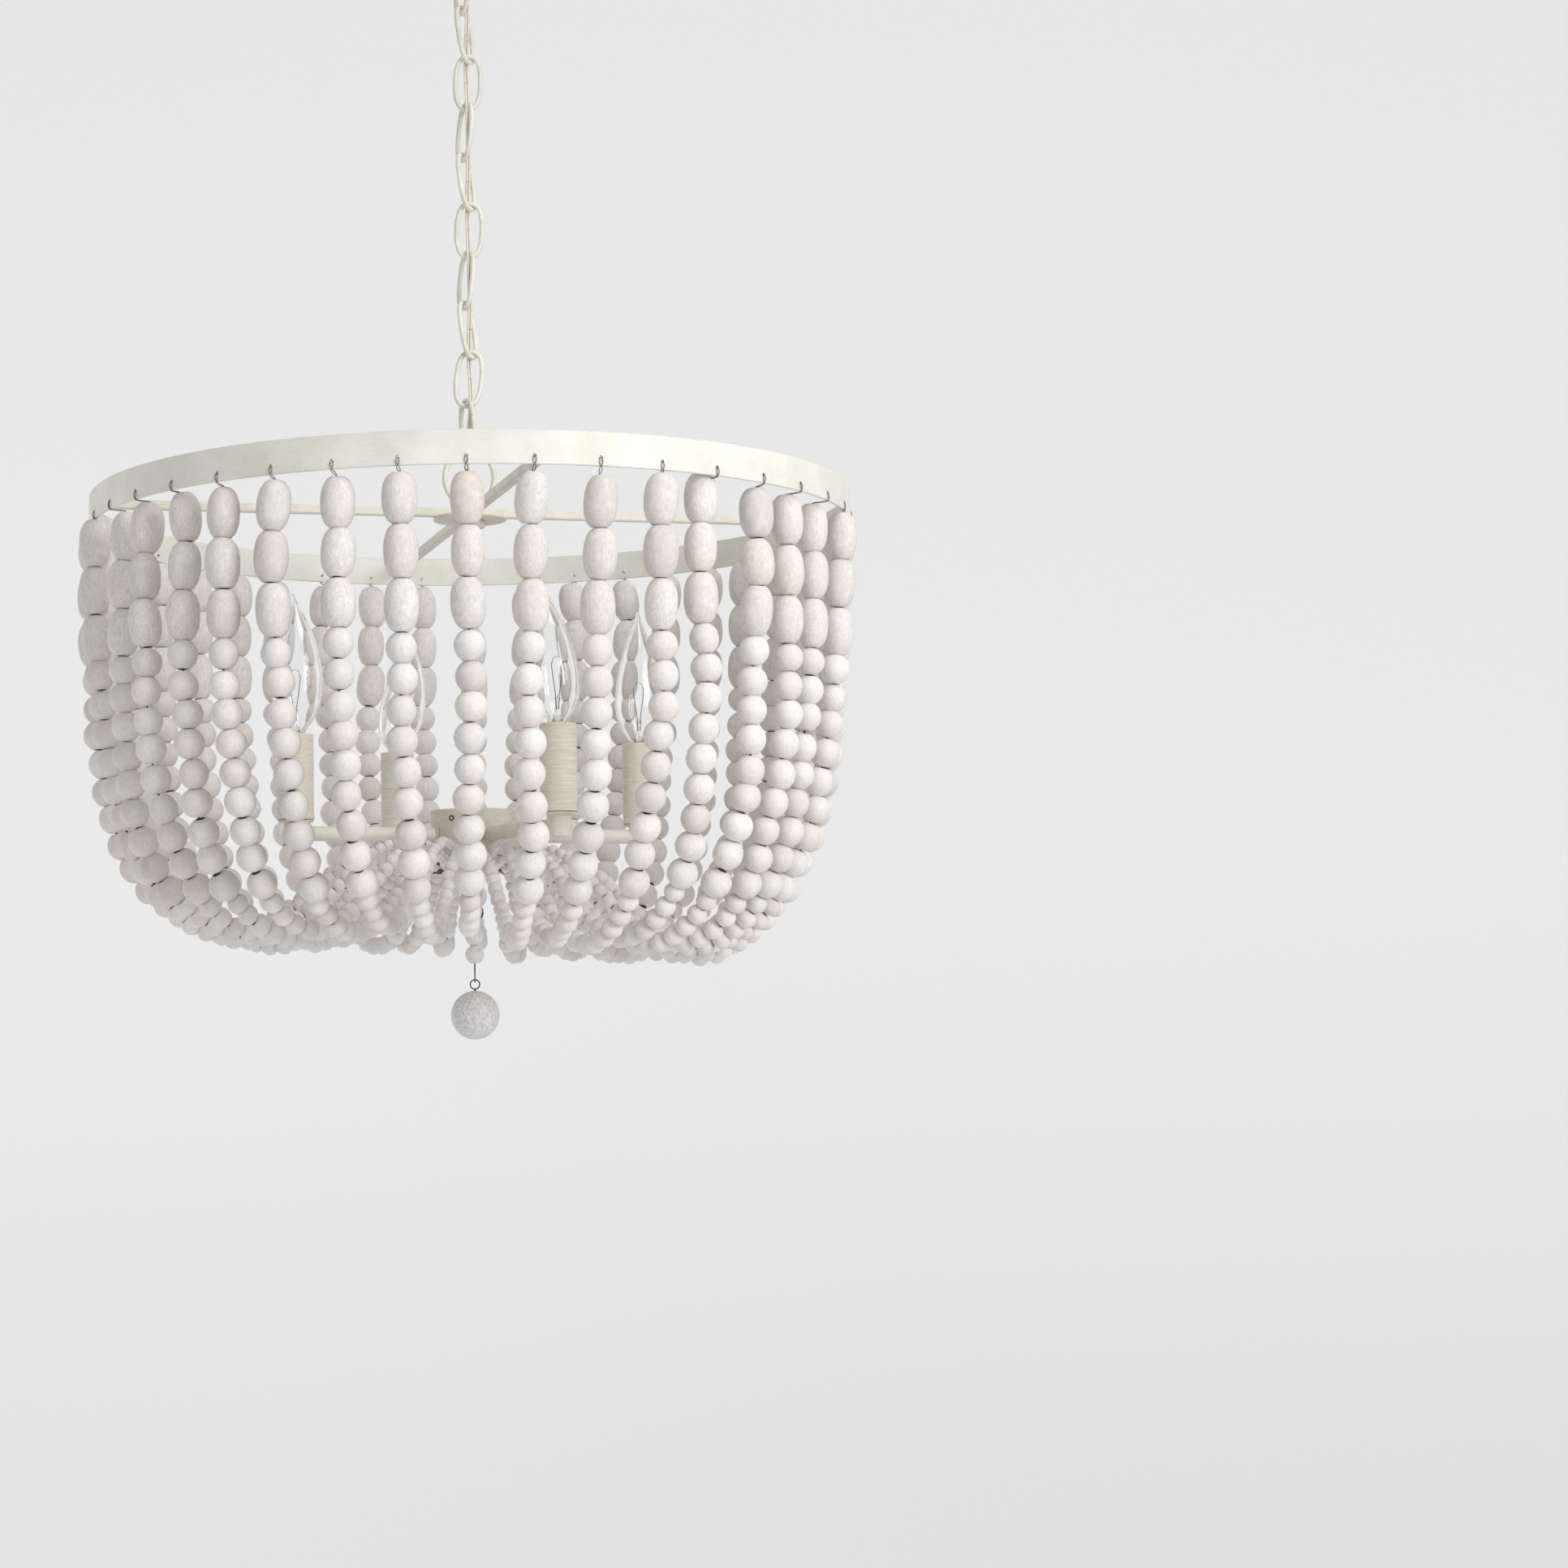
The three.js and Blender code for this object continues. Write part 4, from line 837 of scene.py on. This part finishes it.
def ring_band():
    """The rolled band: a thin strip with eased edges and a drilled hole for each hook."""
    hole_z = HOOK_Z + LIFT
    bottom, top = hole_z - 4.6, hole_z + 14.4
    outer, inner, ease, window = BAND_RADIUS + BAND_HALF_WALL, BAND_RADIUS - BAND_HALF_WALL, 0.45, HOLE_WINDOW
    outline = [(inner + ease, bottom), (outer - ease, bottom), (outer, bottom + ease), (outer, hole_z - window),
               (outer, hole_z + window), (outer, hole_z + 8), (outer, top - ease), (outer - ease, top),
               (inner + ease, top), (inner, top - ease), (inner, hole_z + 8), (inner, hole_z + window),
               (inner, hole_z - window), (inner, bottom + ease)]
    outer_row, inner_row = 3, 11
    half = math.degrees(window / BAND_RADIUS)
    columns = [(k * HOOK_STEP + HOOK_PHASE + a, i == 2) for k in range(STRAND_COUNT)
               for i, a in enumerate((-4.5, -2.2, -half, half, 2.2))]
    verts, faces = [], []
    for degrees, _ in columns:
        verts.extend(polar(degrees, r, z) for r, z in outline)
    rows, total = len(outline), len(columns)
    for c, (degrees, holed) in enumerate(columns):
        n = (c + 1) % total
        for r in range(rows):
            s = (r + 1) % rows
            if not (holed and r in (outer_row, inner_row)):
                faces.append((c * rows + r, n * rows + r, n * rows + s, c * rows + s))
        if not holed:
            continue
        mid = math.radians(degrees + half)
        rims = []
        for radius in (outer, inner):
            rims.append(len(verts))
            for k in range(HOLE_CORNERS):
                a = 2 * math.pi * k / HOLE_CORNERS + math.pi / HOLE_CORNERS
                swing = mid + HOLE_RADIUS * math.cos(a) / radius
                verts.append((radius * math.cos(swing), radius * math.sin(swing), hole_z + HOLE_RADIUS * math.sin(a)))
        # The wall's face round each end of the hole, from the window's four corners to the rim
        for rim, low, high, flip in ((rims[0], outer_row, outer_row + 1, False),
                                     (rims[1], inner_row + 1, inner_row, True)):
            corners = [n * rows + high, c * rows + high, c * rows + low, n * rows + low]
            around = []
            for q in range(4):
                a, b, follow = rim + 2 * q, rim + 2 * q + 1, rim + (2 * q + 2) % HOLE_CORNERS
                around.append((corners[q], b, a))
                around.append((corners[q], corners[(q + 1) % 4], follow, b))
            faces.extend(tuple(reversed(f)) if flip else f for f in around)
        for k in range(HOLE_CORNERS):
            m = (k + 1) % HOLE_CORNERS
            faces.append((rims[0] + k, rims[0] + m, rims[1] + m, rims[1] + k))
    band = Shape().add(verts, faces).made("ring_band_strip", BAND_ENAMEL, crisp=40)
    outward = bmesh.new()
    outward.from_mesh(band.data)
    bmesh.ops.recalc_face_normals(outward, faces=outward.faces)
    outward.to_mesh(band.data)
    outward.free()
    settle(band, "fixture", "painted_steel", "ring_band")


ring_band()

# Hub, with a boss round each arm and one set screw
HUB_RADIUS = 26.5
HUB_HOLE = 24.5
STEM_HOLE = 5.2
ARM_BOSS = [(4.55, 0), (6.0, 0), (5.9, 0.6), (5.3, 1.1), (4.55, 1.3)]
SET_SCREW_DEGREES = 240
SET_SCREW_HEAD = [(2.0, 0.2), (1.8, 0.5), (1.0, 0.5), (0.9, 0.3), (0, 0.3)]


def hub():
    outline = [(HUB_HOLE, HUB_BOTTOM_Z)] + arc(HUB_RADIUS - 0.6, HUB_BOTTOM_Z + 0.6, 0.6, -90, 0, 3)
    outline += arc(HUB_RADIUS - 1.2, HUB_TOP_Z - 1.2, 1.2, 0, 90, 5)
    outline += [(STEM_HOLE, HUB_TOP_Z), (STEM_HOLE, HUB_TOP_Z - 2.5), (HUB_HOLE, HUB_TOP_Z - 2.5)]
    drum = Shape().lathe(outline, 96, closed=True)
    for degrees in ARM_DEGREES:
        drum.lathe(ARM_BOSS, 28, polar(degrees, 26.2, ARM_Z), axis=polar(degrees, 1, 0), closed=True)
    drum.lathe(SET_SCREW_HEAD, 18, polar(SET_SCREW_DEGREES, 26.05, HUB_TOP_Z - 5.9), slot=1,
               axis=polar(SET_SCREW_DEGREES, 1, 0))
    settle(drum.made("hub_drum", HUB_ENAMEL, SET_SCREW), "fixture", "painted_steel", "hub")


hub()

# Arms, cups, sleeves and sockets
ARM_RADIUS = 4.5
ARM_START = 22
SLEEVE_BORE = 9.8


def arms():
    for i, degrees in enumerate(ARM_DEGREES):
        arm = Shape().lathe(rod_outline(ARM_RADIUS, 0, CANDLE_CIRCLE - ARM_START - 3), 32,
                            polar(degrees, ARM_START, ARM_Z), axis=polar(degrees, 1, 0))
        at = polar(degrees, CANDLE_CIRCLE, 0)
        low, top = CUP_TOP_Z - 14.6, CUP_TOP_Z
        cup = [(0, low)] + arc(5.65, low + 1.6, 1.6, -90, 0, 5) + [(7.25, top - 1.6)]
        cup += arc(10.4, top - 0.8, 0.5, -90, 0, 2) + arc(10.4, top - 0.5, 0.5, 0, 90, 2) + [(0, top)]
        arm.lathe(cup, 40, at)
        settle(arm.made(f"arm_{i + 1:02d}_and_cup", FRAME_ENAMEL), "fixture", "painted_steel", f"arm_{i + 1:02d}")

        low, top = SLEEVE_BOTTOM_Z, SLEEVE_TOP_Z
        card = [(SLEEVE_BORE, low), (11.3, low), (11.6, low + 0.4), (11.55, low + 1.4), (11.15, low + 2.4),
                (11.0, low + 3.2), (11.0, top - 0.4), (10.7, top), (10.0, top), (SLEEVE_BORE, top - 0.3)]
        settle(Shape().lathe(card, 56, at, closed=True).made(f"candle_sleeve_{i + 1:02d}_card", SLEEVE_CARD),
               "fixture", "sleeve_card", f"candle_sleeve_{i + 1:02d}")

        top = SLEEVE_TOP_Z - 5
        socket = [(0, low), (8.4, low), (8.4, top - 0.5), (8.0, top), (7.1, top), (6.8, top - 0.5), (6.8, top - 22),
                  (0, top - 22)]
        settle(Shape().lathe(socket, 32, at).made(f"socket_{i + 1:02d}_shell", SOCKET_PLASTIC),
               "fixture", "socket_shell", f"socket_{i + 1:02d}")


arms()

# Bulbs: the glass as (height, radius) over the sleeve's top, the rest as (radius, height)
GLASS_OUTLINE = [(0, 6.0), (2.2, 7.2), (5.6, 9.8), (9.5, 12.2), (13.5, 14.0), (19.0, 15.5), (25.4, 16.1), (32, 15.9),
                 (41, 14.4), (49, 12.6), (57, 10.3), (64, 7.4), (70.7, 4.5), (75, 2.6), (78.6, 1.5), (81.2, 1.0),
                 (82, 0.4)]
GLASS_SLIMMER = 0.94
GLASS_WALL = 0.75
GLASS_SIDES = 40
SCREW_SHELL = [(0, -24.5), (2.4, -24.2), (5.9, -21.5), (6.1, -20), (6.1, -5.2), (5.9, 0.4), (0, 0.6)]
GLASS_STEM = [(0, 0.8), (3.4, 0.8), (2.6, 3.5), (1.7, 7), (1.5, 12), (1.7, 14.5), (1.1, 15.6), (0, 16)]
FILAMENT_POST = [(0.5, 8), (0.9, 15), (1.9, 22), (3.0, 30), (3.3, 35), (2.7, 36)]
COIL_HALF_WIDTH, COIL_RISE, COIL_RADIUS, COIL_STEPS = 2.7, 3.0, 0.25, 24
# No two hand-drawn bulbs match: how far each one's glass leans across the view and which way its tip bends
BULB_LEAN = [0.0, 0.17, 0.08, -0.09]
BULB_BEND_DEGREES = [-90, 180, 180, 180]
BULB_BEND = [4.0, 7.0, 6.9, 2.5]


def bulb(i):
    at = np.array(polar(ARM_DEGREES[i], CANDLE_CIRCLE, SLEEVE_TOP_Z + 0.3))
    bend = np.array(polar(BULB_BEND_DEGREES[i], 1, 0)) * BULB_BEND[i]

    def middle(height):
        """The glass leans from its neck, is drawn out a little above its shoulder, and its tip bends."""
        tip = max(0.0, (height - 38) / 44) ** 1.7
        return at + bend * tip + (BULB_LEAN[i] * max(0.0, height - 6), 0, 0.048 * max(0.0, height - 16) + height)

    glass = Shape()
    fine = eased(GLASS_OUTLINE, 3)
    for inset, inner in ((0.0, False), (GLASS_WALL, True)):
        verts, faces = [], []
        for height, radius in fine:
            r = max(radius * GLASS_SLIMMER - inset, 0.12)
            verts.extend(middle(height) + polar(360 * k / GLASS_SIDES, r, 0) for k in range(GLASS_SIDES))
        for row in range(len(fine) - 1):
            for k in range(GLASS_SIDES):
                n = (k + 1) % GLASS_SIDES
                faces.append((row * GLASS_SIDES + k, row * GLASS_SIDES + n, (row + 1) * GLASS_SIDES + n,
                              (row + 1) * GLASS_SIDES + k))
        faces.append(tuple(range((len(fine) - 1) * GLASS_SIDES, len(fine) * GLASS_SIDES)))
        faces.append(tuple(reversed(range(GLASS_SIDES))))
        glass.add(verts, [tuple(reversed(f)) for f in faces] if inner else faces)
    settle(glass.made(f"bulb_{i + 1:02d}_glass", BULB_GLASS, crisp=0),
           f"bulb_{i + 1:02d}", "clear_glass", f"bulb_{i + 1:02d}")

    inside = Shape().lathe(SCREW_SHELL, 32, at, slot=1).lathe(GLASS_STEM, 20, at, slot=2)
    across = np.array((1.0, 0.25, 0.0))
    across /= np.linalg.norm(across)
    for side in (-1, 1):
        inside.tube(eased([at + across * side * r + (0, 0, h) for r, h in FILAMENT_POST], 6), 0.22, 6)
    coil = []
    for k in range(COIL_STEPS + 1):
        a, wind = math.pi * k / COIL_STEPS, 2.6 * k
        rise = FILAMENT_POST[-1][1] + COIL_RISE * math.sin(a) + COIL_RADIUS * math.cos(wind)
        coil.append(at + across * COIL_HALF_WIDTH * math.cos(a) + (0, COIL_RADIUS * math.sin(wind), rise))
    inside.tube(coil, 0.12, 5)
    settle(inside.made(f"bulb_{i + 1:02d}_base_and_filament", LEAD_WIRE, BASE_BRASS, BULB_GLASS),
           f"bulb_{i + 1:02d}", "clear_glass")


for bulb_number in range(len(ARM_DEGREES)):
    bulb(bulb_number)


# Collector: a cover under the hub, a ring on five posts for the strings, and the eye that the finial hangs from
def collector():
    top, bottom = HUB_BOTTOM_Z - 0.3, HUB_BOTTOM_Z - 1.8
    shape = Shape().lathe(drum_outline(26.3, bottom, top, 0.5), 96)
    shape.lathe(drum_outline(6, bottom - 8, bottom + 0.4, 1.2), 32)
    shape.lathe([(0, EYE_Z + 3.4), (1.7, EYE_Z + 3.4), (2.0, EYE_Z + 4.2), (2.0, bottom - 6), (0, bottom - 6)], 20)
    shape.tube([polar(360 * k / 96, COLLECTOR_RADIUS, COLLECTOR_Z) for k in range(96)], 1.2, 10, closed=True)
    for k in range(5):
        shape.lathe(rod_outline(1.1, COLLECTOR_Z, bottom + 0.2), 12,
                    polar(HOOK_PHASE - HOOK_STEP / 2 + 72 * k, COLLECTOR_RADIUS, 0))
    shape.tube(eye_line(3.2, EYE_Z, True), 0.85, 8, closed=True, slot=1)
    settle(shape.made("strand_collector_ring", FRAME_ENAMEL, EYE_WIRE), "fixture", "painted_steel", "strand_collector")


collector()

# Finial: a drop of wire with two beads, and a ball on its own screw eye
EYE_WIRE_RADIUS = 0.42
FINIAL_BEAD_RADIUS, FINIAL_BEAD_HALF_LENGTH = 5.75, 5.9


def finial_beads():
    spread = np.random.default_rng(5)
    n = len(FINIAL_BEADS_Z)
    size = (FINIAL_BEAD_RADIUS * MM, FINIAL_BEAD_RADIUS * MM, FINIAL_BEAD_HALF_LENGTH * MM)
    base = points_object([(0, 0, z) for z in FINIAL_BEADS_Z], along=[(0, 0, 1)] * n, size=[size] * n,
                         kind=[ROUND] * n, tone=spread.uniform(0.35, 0.6, n), grain=[0.5] * n,
                         warmth=spread.uniform(0.4, 0.7, n), spin=spread.uniform(0, 6, n))
    return grown(base, BEADS, "finial_beads", Round_sides=28, Paint=BEAD_WOOD)


def finial():
    wire = Shape().tube(eye_line(5.2, DROP_RING_Z), 0.6, 8, closed=True)
    wire.tube([(0, 0, DROP_RING_Z - 5.2), (0, 0, FINIAL_BEADS_Z[1] - 9), (0, 0, FINIAL_EYE_Z + 3.2)], 0.45, 8)
    wire.tube(eye_line(2.7, FINIAL_EYE_Z + 0.5, True), EYE_WIRE_RADIUS, 8, closed=True)
    settle(wire.made("finial_wire", EYE_WIRE), "finial_drop", "bead_wood", "finial_drop")
    settle(finial_beads(), "finial_drop", "bead_wood")

    eye = Shape().tube(eye_line(2.9, BALL_EYE_Z - 0.45), EYE_WIRE_RADIUS, 8, closed=True)
    eye.lathe([(0, BALL_Z + 12), (0.6, BALL_Z + 12), (0.6, BALL_EYE_Z - 3.1), (0, BALL_EYE_Z - 3.1)], 10)
    settle(eye.made("finial_screw_eye", EYE_WIRE), "finial_ball", "bead_wood")
    outline = [(BALL_RADIUS * math.sin(math.radians(a)) if 0 < a < 180 else 0,
                BALL_Z - BALL_RADIUS * math.cos(math.radians(a))) for a in range(0, 181, 6)]
    settle(Shape().lathe(outline, 56).made("finial_ball_turned", BALL_WOOD, crisp=0),
           "finial_ball", "bead_wood", "finial_ball")


finial()

# Bead strands: the shared sag, as shares of the band's radius and of the collector's depth
OUTER_SAG = [(0.979, 0.11), (0.976, 0.24), (0.968, 0.42), (0.957, 0.62), (0.937, 0.76), (0.912, 0.89),
             (0.876, 0.99), (0.838, 1.065), (0.79, 1.135), (0.735, 1.185)]
UPPER_SAG = [(0.655, 1.213), (0.56, 1.195), (0.465, 1.135), (0.38, 1.05), (0.305, 0.978), (0.24, 0.95), (0.178, 0.955)]
LOWER_SAG = [(0.655, 1.23), (0.56, 1.222), (0.465, 1.17), (0.38, 1.085), (0.305, 1.013), (0.24, 0.984), (0.178, 0.988)]
# The basket hangs a little uneven: narrower and deeper one way, wider and shallower the other way
UNEVEN_DEGREES = 35.0
UNEVEN_WIDTH = 6.0
UNEVEN_DEPTH = 7.0
STRAND_TOP_Z = HOOK_Z - 4.4
STRAND_RADIUS = 230.5
RIM_RADIUS = 28.5
TURN_RADIUS = 3.0
# How far out the strands hang that the photograph shows, by number, and how far the others may
HANGS = {22: 235, 23: 225.5, 24: 226, 25: 226.5, 26: 230, 27: 231.5, 28: 229, 29: 231, 30: 230, 31: 232, 32: 234,
         33: 234.5, 34: 223.5, 35: 230, 36: 226, 37: 226.5, 38: 235}
HANG_RANGE = (225, 235)
RAISED = {34: 6.5}
SIDE_RAISE = 2.6
# A strand's own wander: half waves along it and their size in mm
WANDER = ((1.0, 1.3), (2.3, 1.1), (4.1, 0.9), (7.3, 0.7))
# Beads from the hook down: up to which bead, length, radius and kind
BEAD_ROWS = [(3, 28.2, 9.6, OVAL), (12, 16.65, 8.75, ROUND), (20, 10.6, 6.2, SMALL), (26, 8.1, 4.5, SMALL),
             (30, 6.1, 3.4, SMALL), (math.inf, 4.6, 2.6, SMALL)]
# By kind of bead: the gap to the next one, how far it sits off the string, and how much its grain shows
BEAD_GAP = (0.22, 0.18, 0.1)
BEAD_PLAY = (0.25, 0.4, 0.3)
BEAD_GRAIN = (1.0, 0.5, 0.3)
TURNING_SPREAD = 0.022
STRING_RADIUS = 0.75
HOOK_WIRE_RADIUS = 0.26


def strand_line(number, spread):
    """One strand's line from its hook to the collector: the shared sag with a little wander of its own."""
    lower = number % 2 == 1
    degrees = HOOK_PHASE + HOOK_STEP * number
    towards = math.cos(math.radians(degrees - UNEVEN_DEGREES))
    turn_z = COLLECTOR_Z + (-TURN_RADIUS if lower else TURN_RADIUS)
    hang = HANGS.get(number, spread.uniform(*HANG_RANGE)) - STRAND_RADIUS
    raised = RAISED.get(number, SIDE_RAISE * math.cos(math.radians(degrees)) ** 2)
    sag = [(STRAND_RADIUS, STRAND_TOP_Z + raised + spread.normal(0, 0.5))]
    for r, depth in OUTER_SAG + (LOWER_SAG if lower else UPPER_SAG):
        reach = (BAND_RADIUS * r - COLLECTOR_RADIUS) / (BAND_RADIUS - COLLECTOR_RADIUS)
        sag.append((BAND_RADIUS * r - UNEVEN_WIDTH * towards * reach * min(depth, 1),
                    HOOK_Z - (HOOK_Z - COLLECTOR_Z) * depth - UNEVEN_DEPTH * towards * math.sin(math.pi * reach)))
    flat = eased(sag + [(RIM_RADIUS, turn_z), (COLLECTOR_RADIUS, turn_z)], 16)
    lengths = lengths_along(flat)
    s = np.arange(0, lengths[-1], 1.0)
    radial = at_length(flat, lengths, s)
    share = s / lengths[-1]
    side, away = np.zeros(len(s)), np.zeros(len(s))
    for waves, size in WANDER:
        side += spread.normal(0, size) * np.sin(waves * math.pi * share + spread.uniform(0, FULL_TURN))
        away += spread.normal(0, size) * np.sin(waves * math.pi * share + spread.uniform(0, FULL_TURN))
    # The wander fades out at the hook and towards the collector
    hold = np.clip(share / 0.06, 0, 1) * np.clip((1 - share) / 0.3, 0, 1)
    side, away = side * hold, away * hold
    # The two strands of a string meet at the collector
    pair = degrees + HOOK_STEP / 2 * (-1 if lower else 1)
    meet = np.clip((share - 0.88) / 0.12, 0, 1) ** 2
    angle = np.radians(degrees + (pair - degrees) * meet)
    # Outside the bend a strand wanders in and out, and inside it up and down
    inner = np.clip((share - 0.45) / 0.2, 0, 1)
    hang = hang * (1 - np.clip(share / 0.5, 0, 1)) ** 1.5
    r, z = radial[:, 0] + hang + away * (1 - inner), radial[:, 1] + away * inner
    return np.stack([r * np.cos(angle) - side * np.sin(angle), r * np.sin(angle) + side * np.cos(angle), z], 1), s


def bead_sizes(total, spread):
    """(start along the string, length, radius, kind) of each bead from the hook down."""
    beads, used = [], 0.2
    while used < total - 7:
        long, radius, kind = next(row[1:] for row in BEAD_ROWS if len(beads) < row[0])
        long *= 1 + spread.normal(0, TURNING_SPREAD)
        beads.append((used, long, radius * (1 + spread.normal(0, TURNING_SPREAD)), kind))
        used += long + BEAD_GAP[kind]
    return beads


def hook_line(degrees, top):
    """A hook's wire: up from the bead, crossed at the band's edge, through the hole and back the same way."""
    out, edge, hole = BAND_RADIUS + 1.35, LIFT - 4.6, LIFT
    reach, drop = math.hypot(top[0], top[1]), top[2] - HOOK_Z
    low = min(drop + 0.4, edge - 1.2)
    half = [(reach, 0.25, drop - 2.0), (reach, 0.3, low), ((reach + out) / 2, 0.85, (low + edge) / 2 - 0.2),
            (out - 0.1, 0.4, edge - 0.3), (out + 0.25, 0, edge + 0.3), (out + 0.3, -0.6, edge + 1.1),
            (out + 0.3, -0.95, edge + 2.3), (out + 0.25, -0.7, edge + 3.4), (out, -0.4, hole - 0.2),
            (out - 1.3, -0.35, hole), (out - 2.9, -0.3, hole - 0.1)]
    crossing = 4
    back = [(x - (0.5 if k == crossing else 0), -y, z) for k, (x, y, z) in enumerate(half)]
    a = math.radians(degrees)
    return [(x * math.cos(a) - y * math.sin(a), x * math.sin(a) + y * math.cos(a), z + HOOK_Z)
            for x, y, z in eased(half + back[::-1], 4)]


def strands():
    spread = np.random.default_rng(740)
    hooks = []
    for pair in range(STRAND_COUNT // 2):
        beads = {label: [] for label in ("centre", "along", "size", "kind", "tone", "warmth", "grain", "spin")}
        legs = []
        for number in (2 * pair, 2 * pair + 1):
            line, s = strand_line(number, spread)
            legs.append(line)
            hooks.append(hook_line(HOOK_PHASE + HOOK_STEP * number, line[0]))
            for start, long, radius, kind in bead_sizes(s[-1], spread):
                a, b = at_length(line, s, start), at_length(line, s, start + long)
                half = long / 2 / (OVAL_CUT if kind == OVAL else ROUND_CUT)
                beads["centre"].append((a + b) / 2 + spread.normal(0, BEAD_PLAY[kind], 3))
                beads["along"].append((b - a) / np.linalg.norm(b - a) + spread.normal(0, 0.035, 3))
                beads["size"].append((radius * MM, radius * MM * (1 + spread.normal(0, 0.015)), half * MM))
                beads["kind"].append(kind)
                beads["tone"].append(np.clip(spread.normal(0.55, 0.22), 0, 1))
                beads["warmth"].append(spread.uniform(0, 1))
                beads["grain"].append(BEAD_GRAIN[kind])
                beads["spin"].append(spread.uniform(0, FULL_TURN))
        name = f"bead_strands_{pair + 1:02d}"
        settle(grown(points_object(**beads), BEADS, f"{name}_beads", Paint=BEAD_WOOD), "fixture", "bead_wood", name)
        # The string goes down one strand, round the collector's ring and up the other
        turn = polar(HOOK_PHASE + HOOK_STEP * (2 * pair + 0.5), COLLECTOR_RADIUS - TURN_RADIUS, COLLECTOR_Z)
        route = np.vstack([legs[0][::4], legs[0][-1:], [turn], legs[1][-1:], legs[1][::-4]])
        # The string's dark colour is painted shade in the gaps between beads
        settle(grown(line_object(route), WIRES, f"{name}_string", Radius=STRING_RADIUS * MM, Sides=6,
                     Paint=BEAD_STRING_IN_GAP_SHADE), "fixture", "bead_wood")
    settle(grown(line_object(*hooks), WIRES, "strand_hooks", Radius=HOOK_WIRE_RADIUS * MM, Sides=6, Paint=HOOK_WIRE),
           "fixture", "bead_wood")


strands()

# Stage: a plain pale floor that rises into a backdrop. Sizes are in metres
FLOOR_Z = -1.75
BACKDROP_Y = 3.4
BACKDROP_BEND = 1.2


def stage():
    # Matt seamless paper. It gives an even pale field, a little darker towards the floor
    material = empty_material("matt_seamless_paper")
    node = partial(add_node, material.node_tree)
    height = node("ShaderNodeSeparateXYZ", {"Vector": place_on_object(material.node_tree)}).outputs["Z"]
    glow = node("ShaderNodeMapRange", {"Value": height, "From Min": -1700, "From Max": -1000,
                                       "To Min": 0.625, "To Max": 0.687}).outputs["Result"]
    surface(material, {}, hue("#909090"), 0.95, Emission_Color=hue("#FFFFFF"), Emission_Strength=glow,
            Specular_IOR_Level=0.0)
    profile = [(-6.0, FLOOR_Z), (BACKDROP_Y - BACKDROP_BEND, FLOOR_Z)]
    profile += [(BACKDROP_Y - BACKDROP_BEND + BACKDROP_BEND * math.sin(math.radians(a)),
                 FLOOR_Z + BACKDROP_BEND - BACKDROP_BEND * math.cos(math.radians(a))) for a in range(6, 91, 6)]
    profile += [(BACKDROP_Y, 4.5)]
    verts = [(x, y, z) for y, z in profile for x in (-7.0, 7.0)]
    faces = [(2 * i, 2 * i + 1, 2 * i + 3, 2 * i + 2) for i in range(len(profile) - 1)]
    floor = mesh_object("studio_floor", verts, faces)
    floor.data.materials.append(material)


stage()


def soft_light(name, at, aim, size, watts):
    data = bpy.data.lights.new(name, "AREA")
    data.shape, data.size, data.energy = "DISK", size, watts
    data.spread = math.radians(60)
    obj = bpy.data.objects.new(name, data)
    obj.location = at
    obj.rotation_mode = "QUATERNION"
    obj.rotation_quaternion = (Vector(aim) - Vector(at)).to_track_quat("-Z", "Y")
    bpy.context.scene.collection.objects.link(obj)


BASKET_MIDDLE = (0, 0, -0.55)
soft_light("key_light", (1.15, -1.3, -0.15), (0.1, 0, -0.58), 1.1, 2.8)
soft_light("front_fill", (-0.9, -2.7, -0.3), BASKET_MIDDLE, 2.0, 1.8)
soft_light("top_light", (0.5, -1.1, 1.2), BASKET_MIDDLE, 1.4, 2.2)
soft_light("left_rim", (-1.6, 0.9, -0.4), BASKET_MIDDLE, 1.4, 1.1)

world = bpy.data.worlds.new("studio")
world.use_nodes = True
world.node_tree.nodes["Background"].inputs["Color"].default_value = hue("#FDFDFD")
world.node_tree.nodes["Background"].inputs["Strength"].default_value = 0.24
bpy.context.scene.world = world
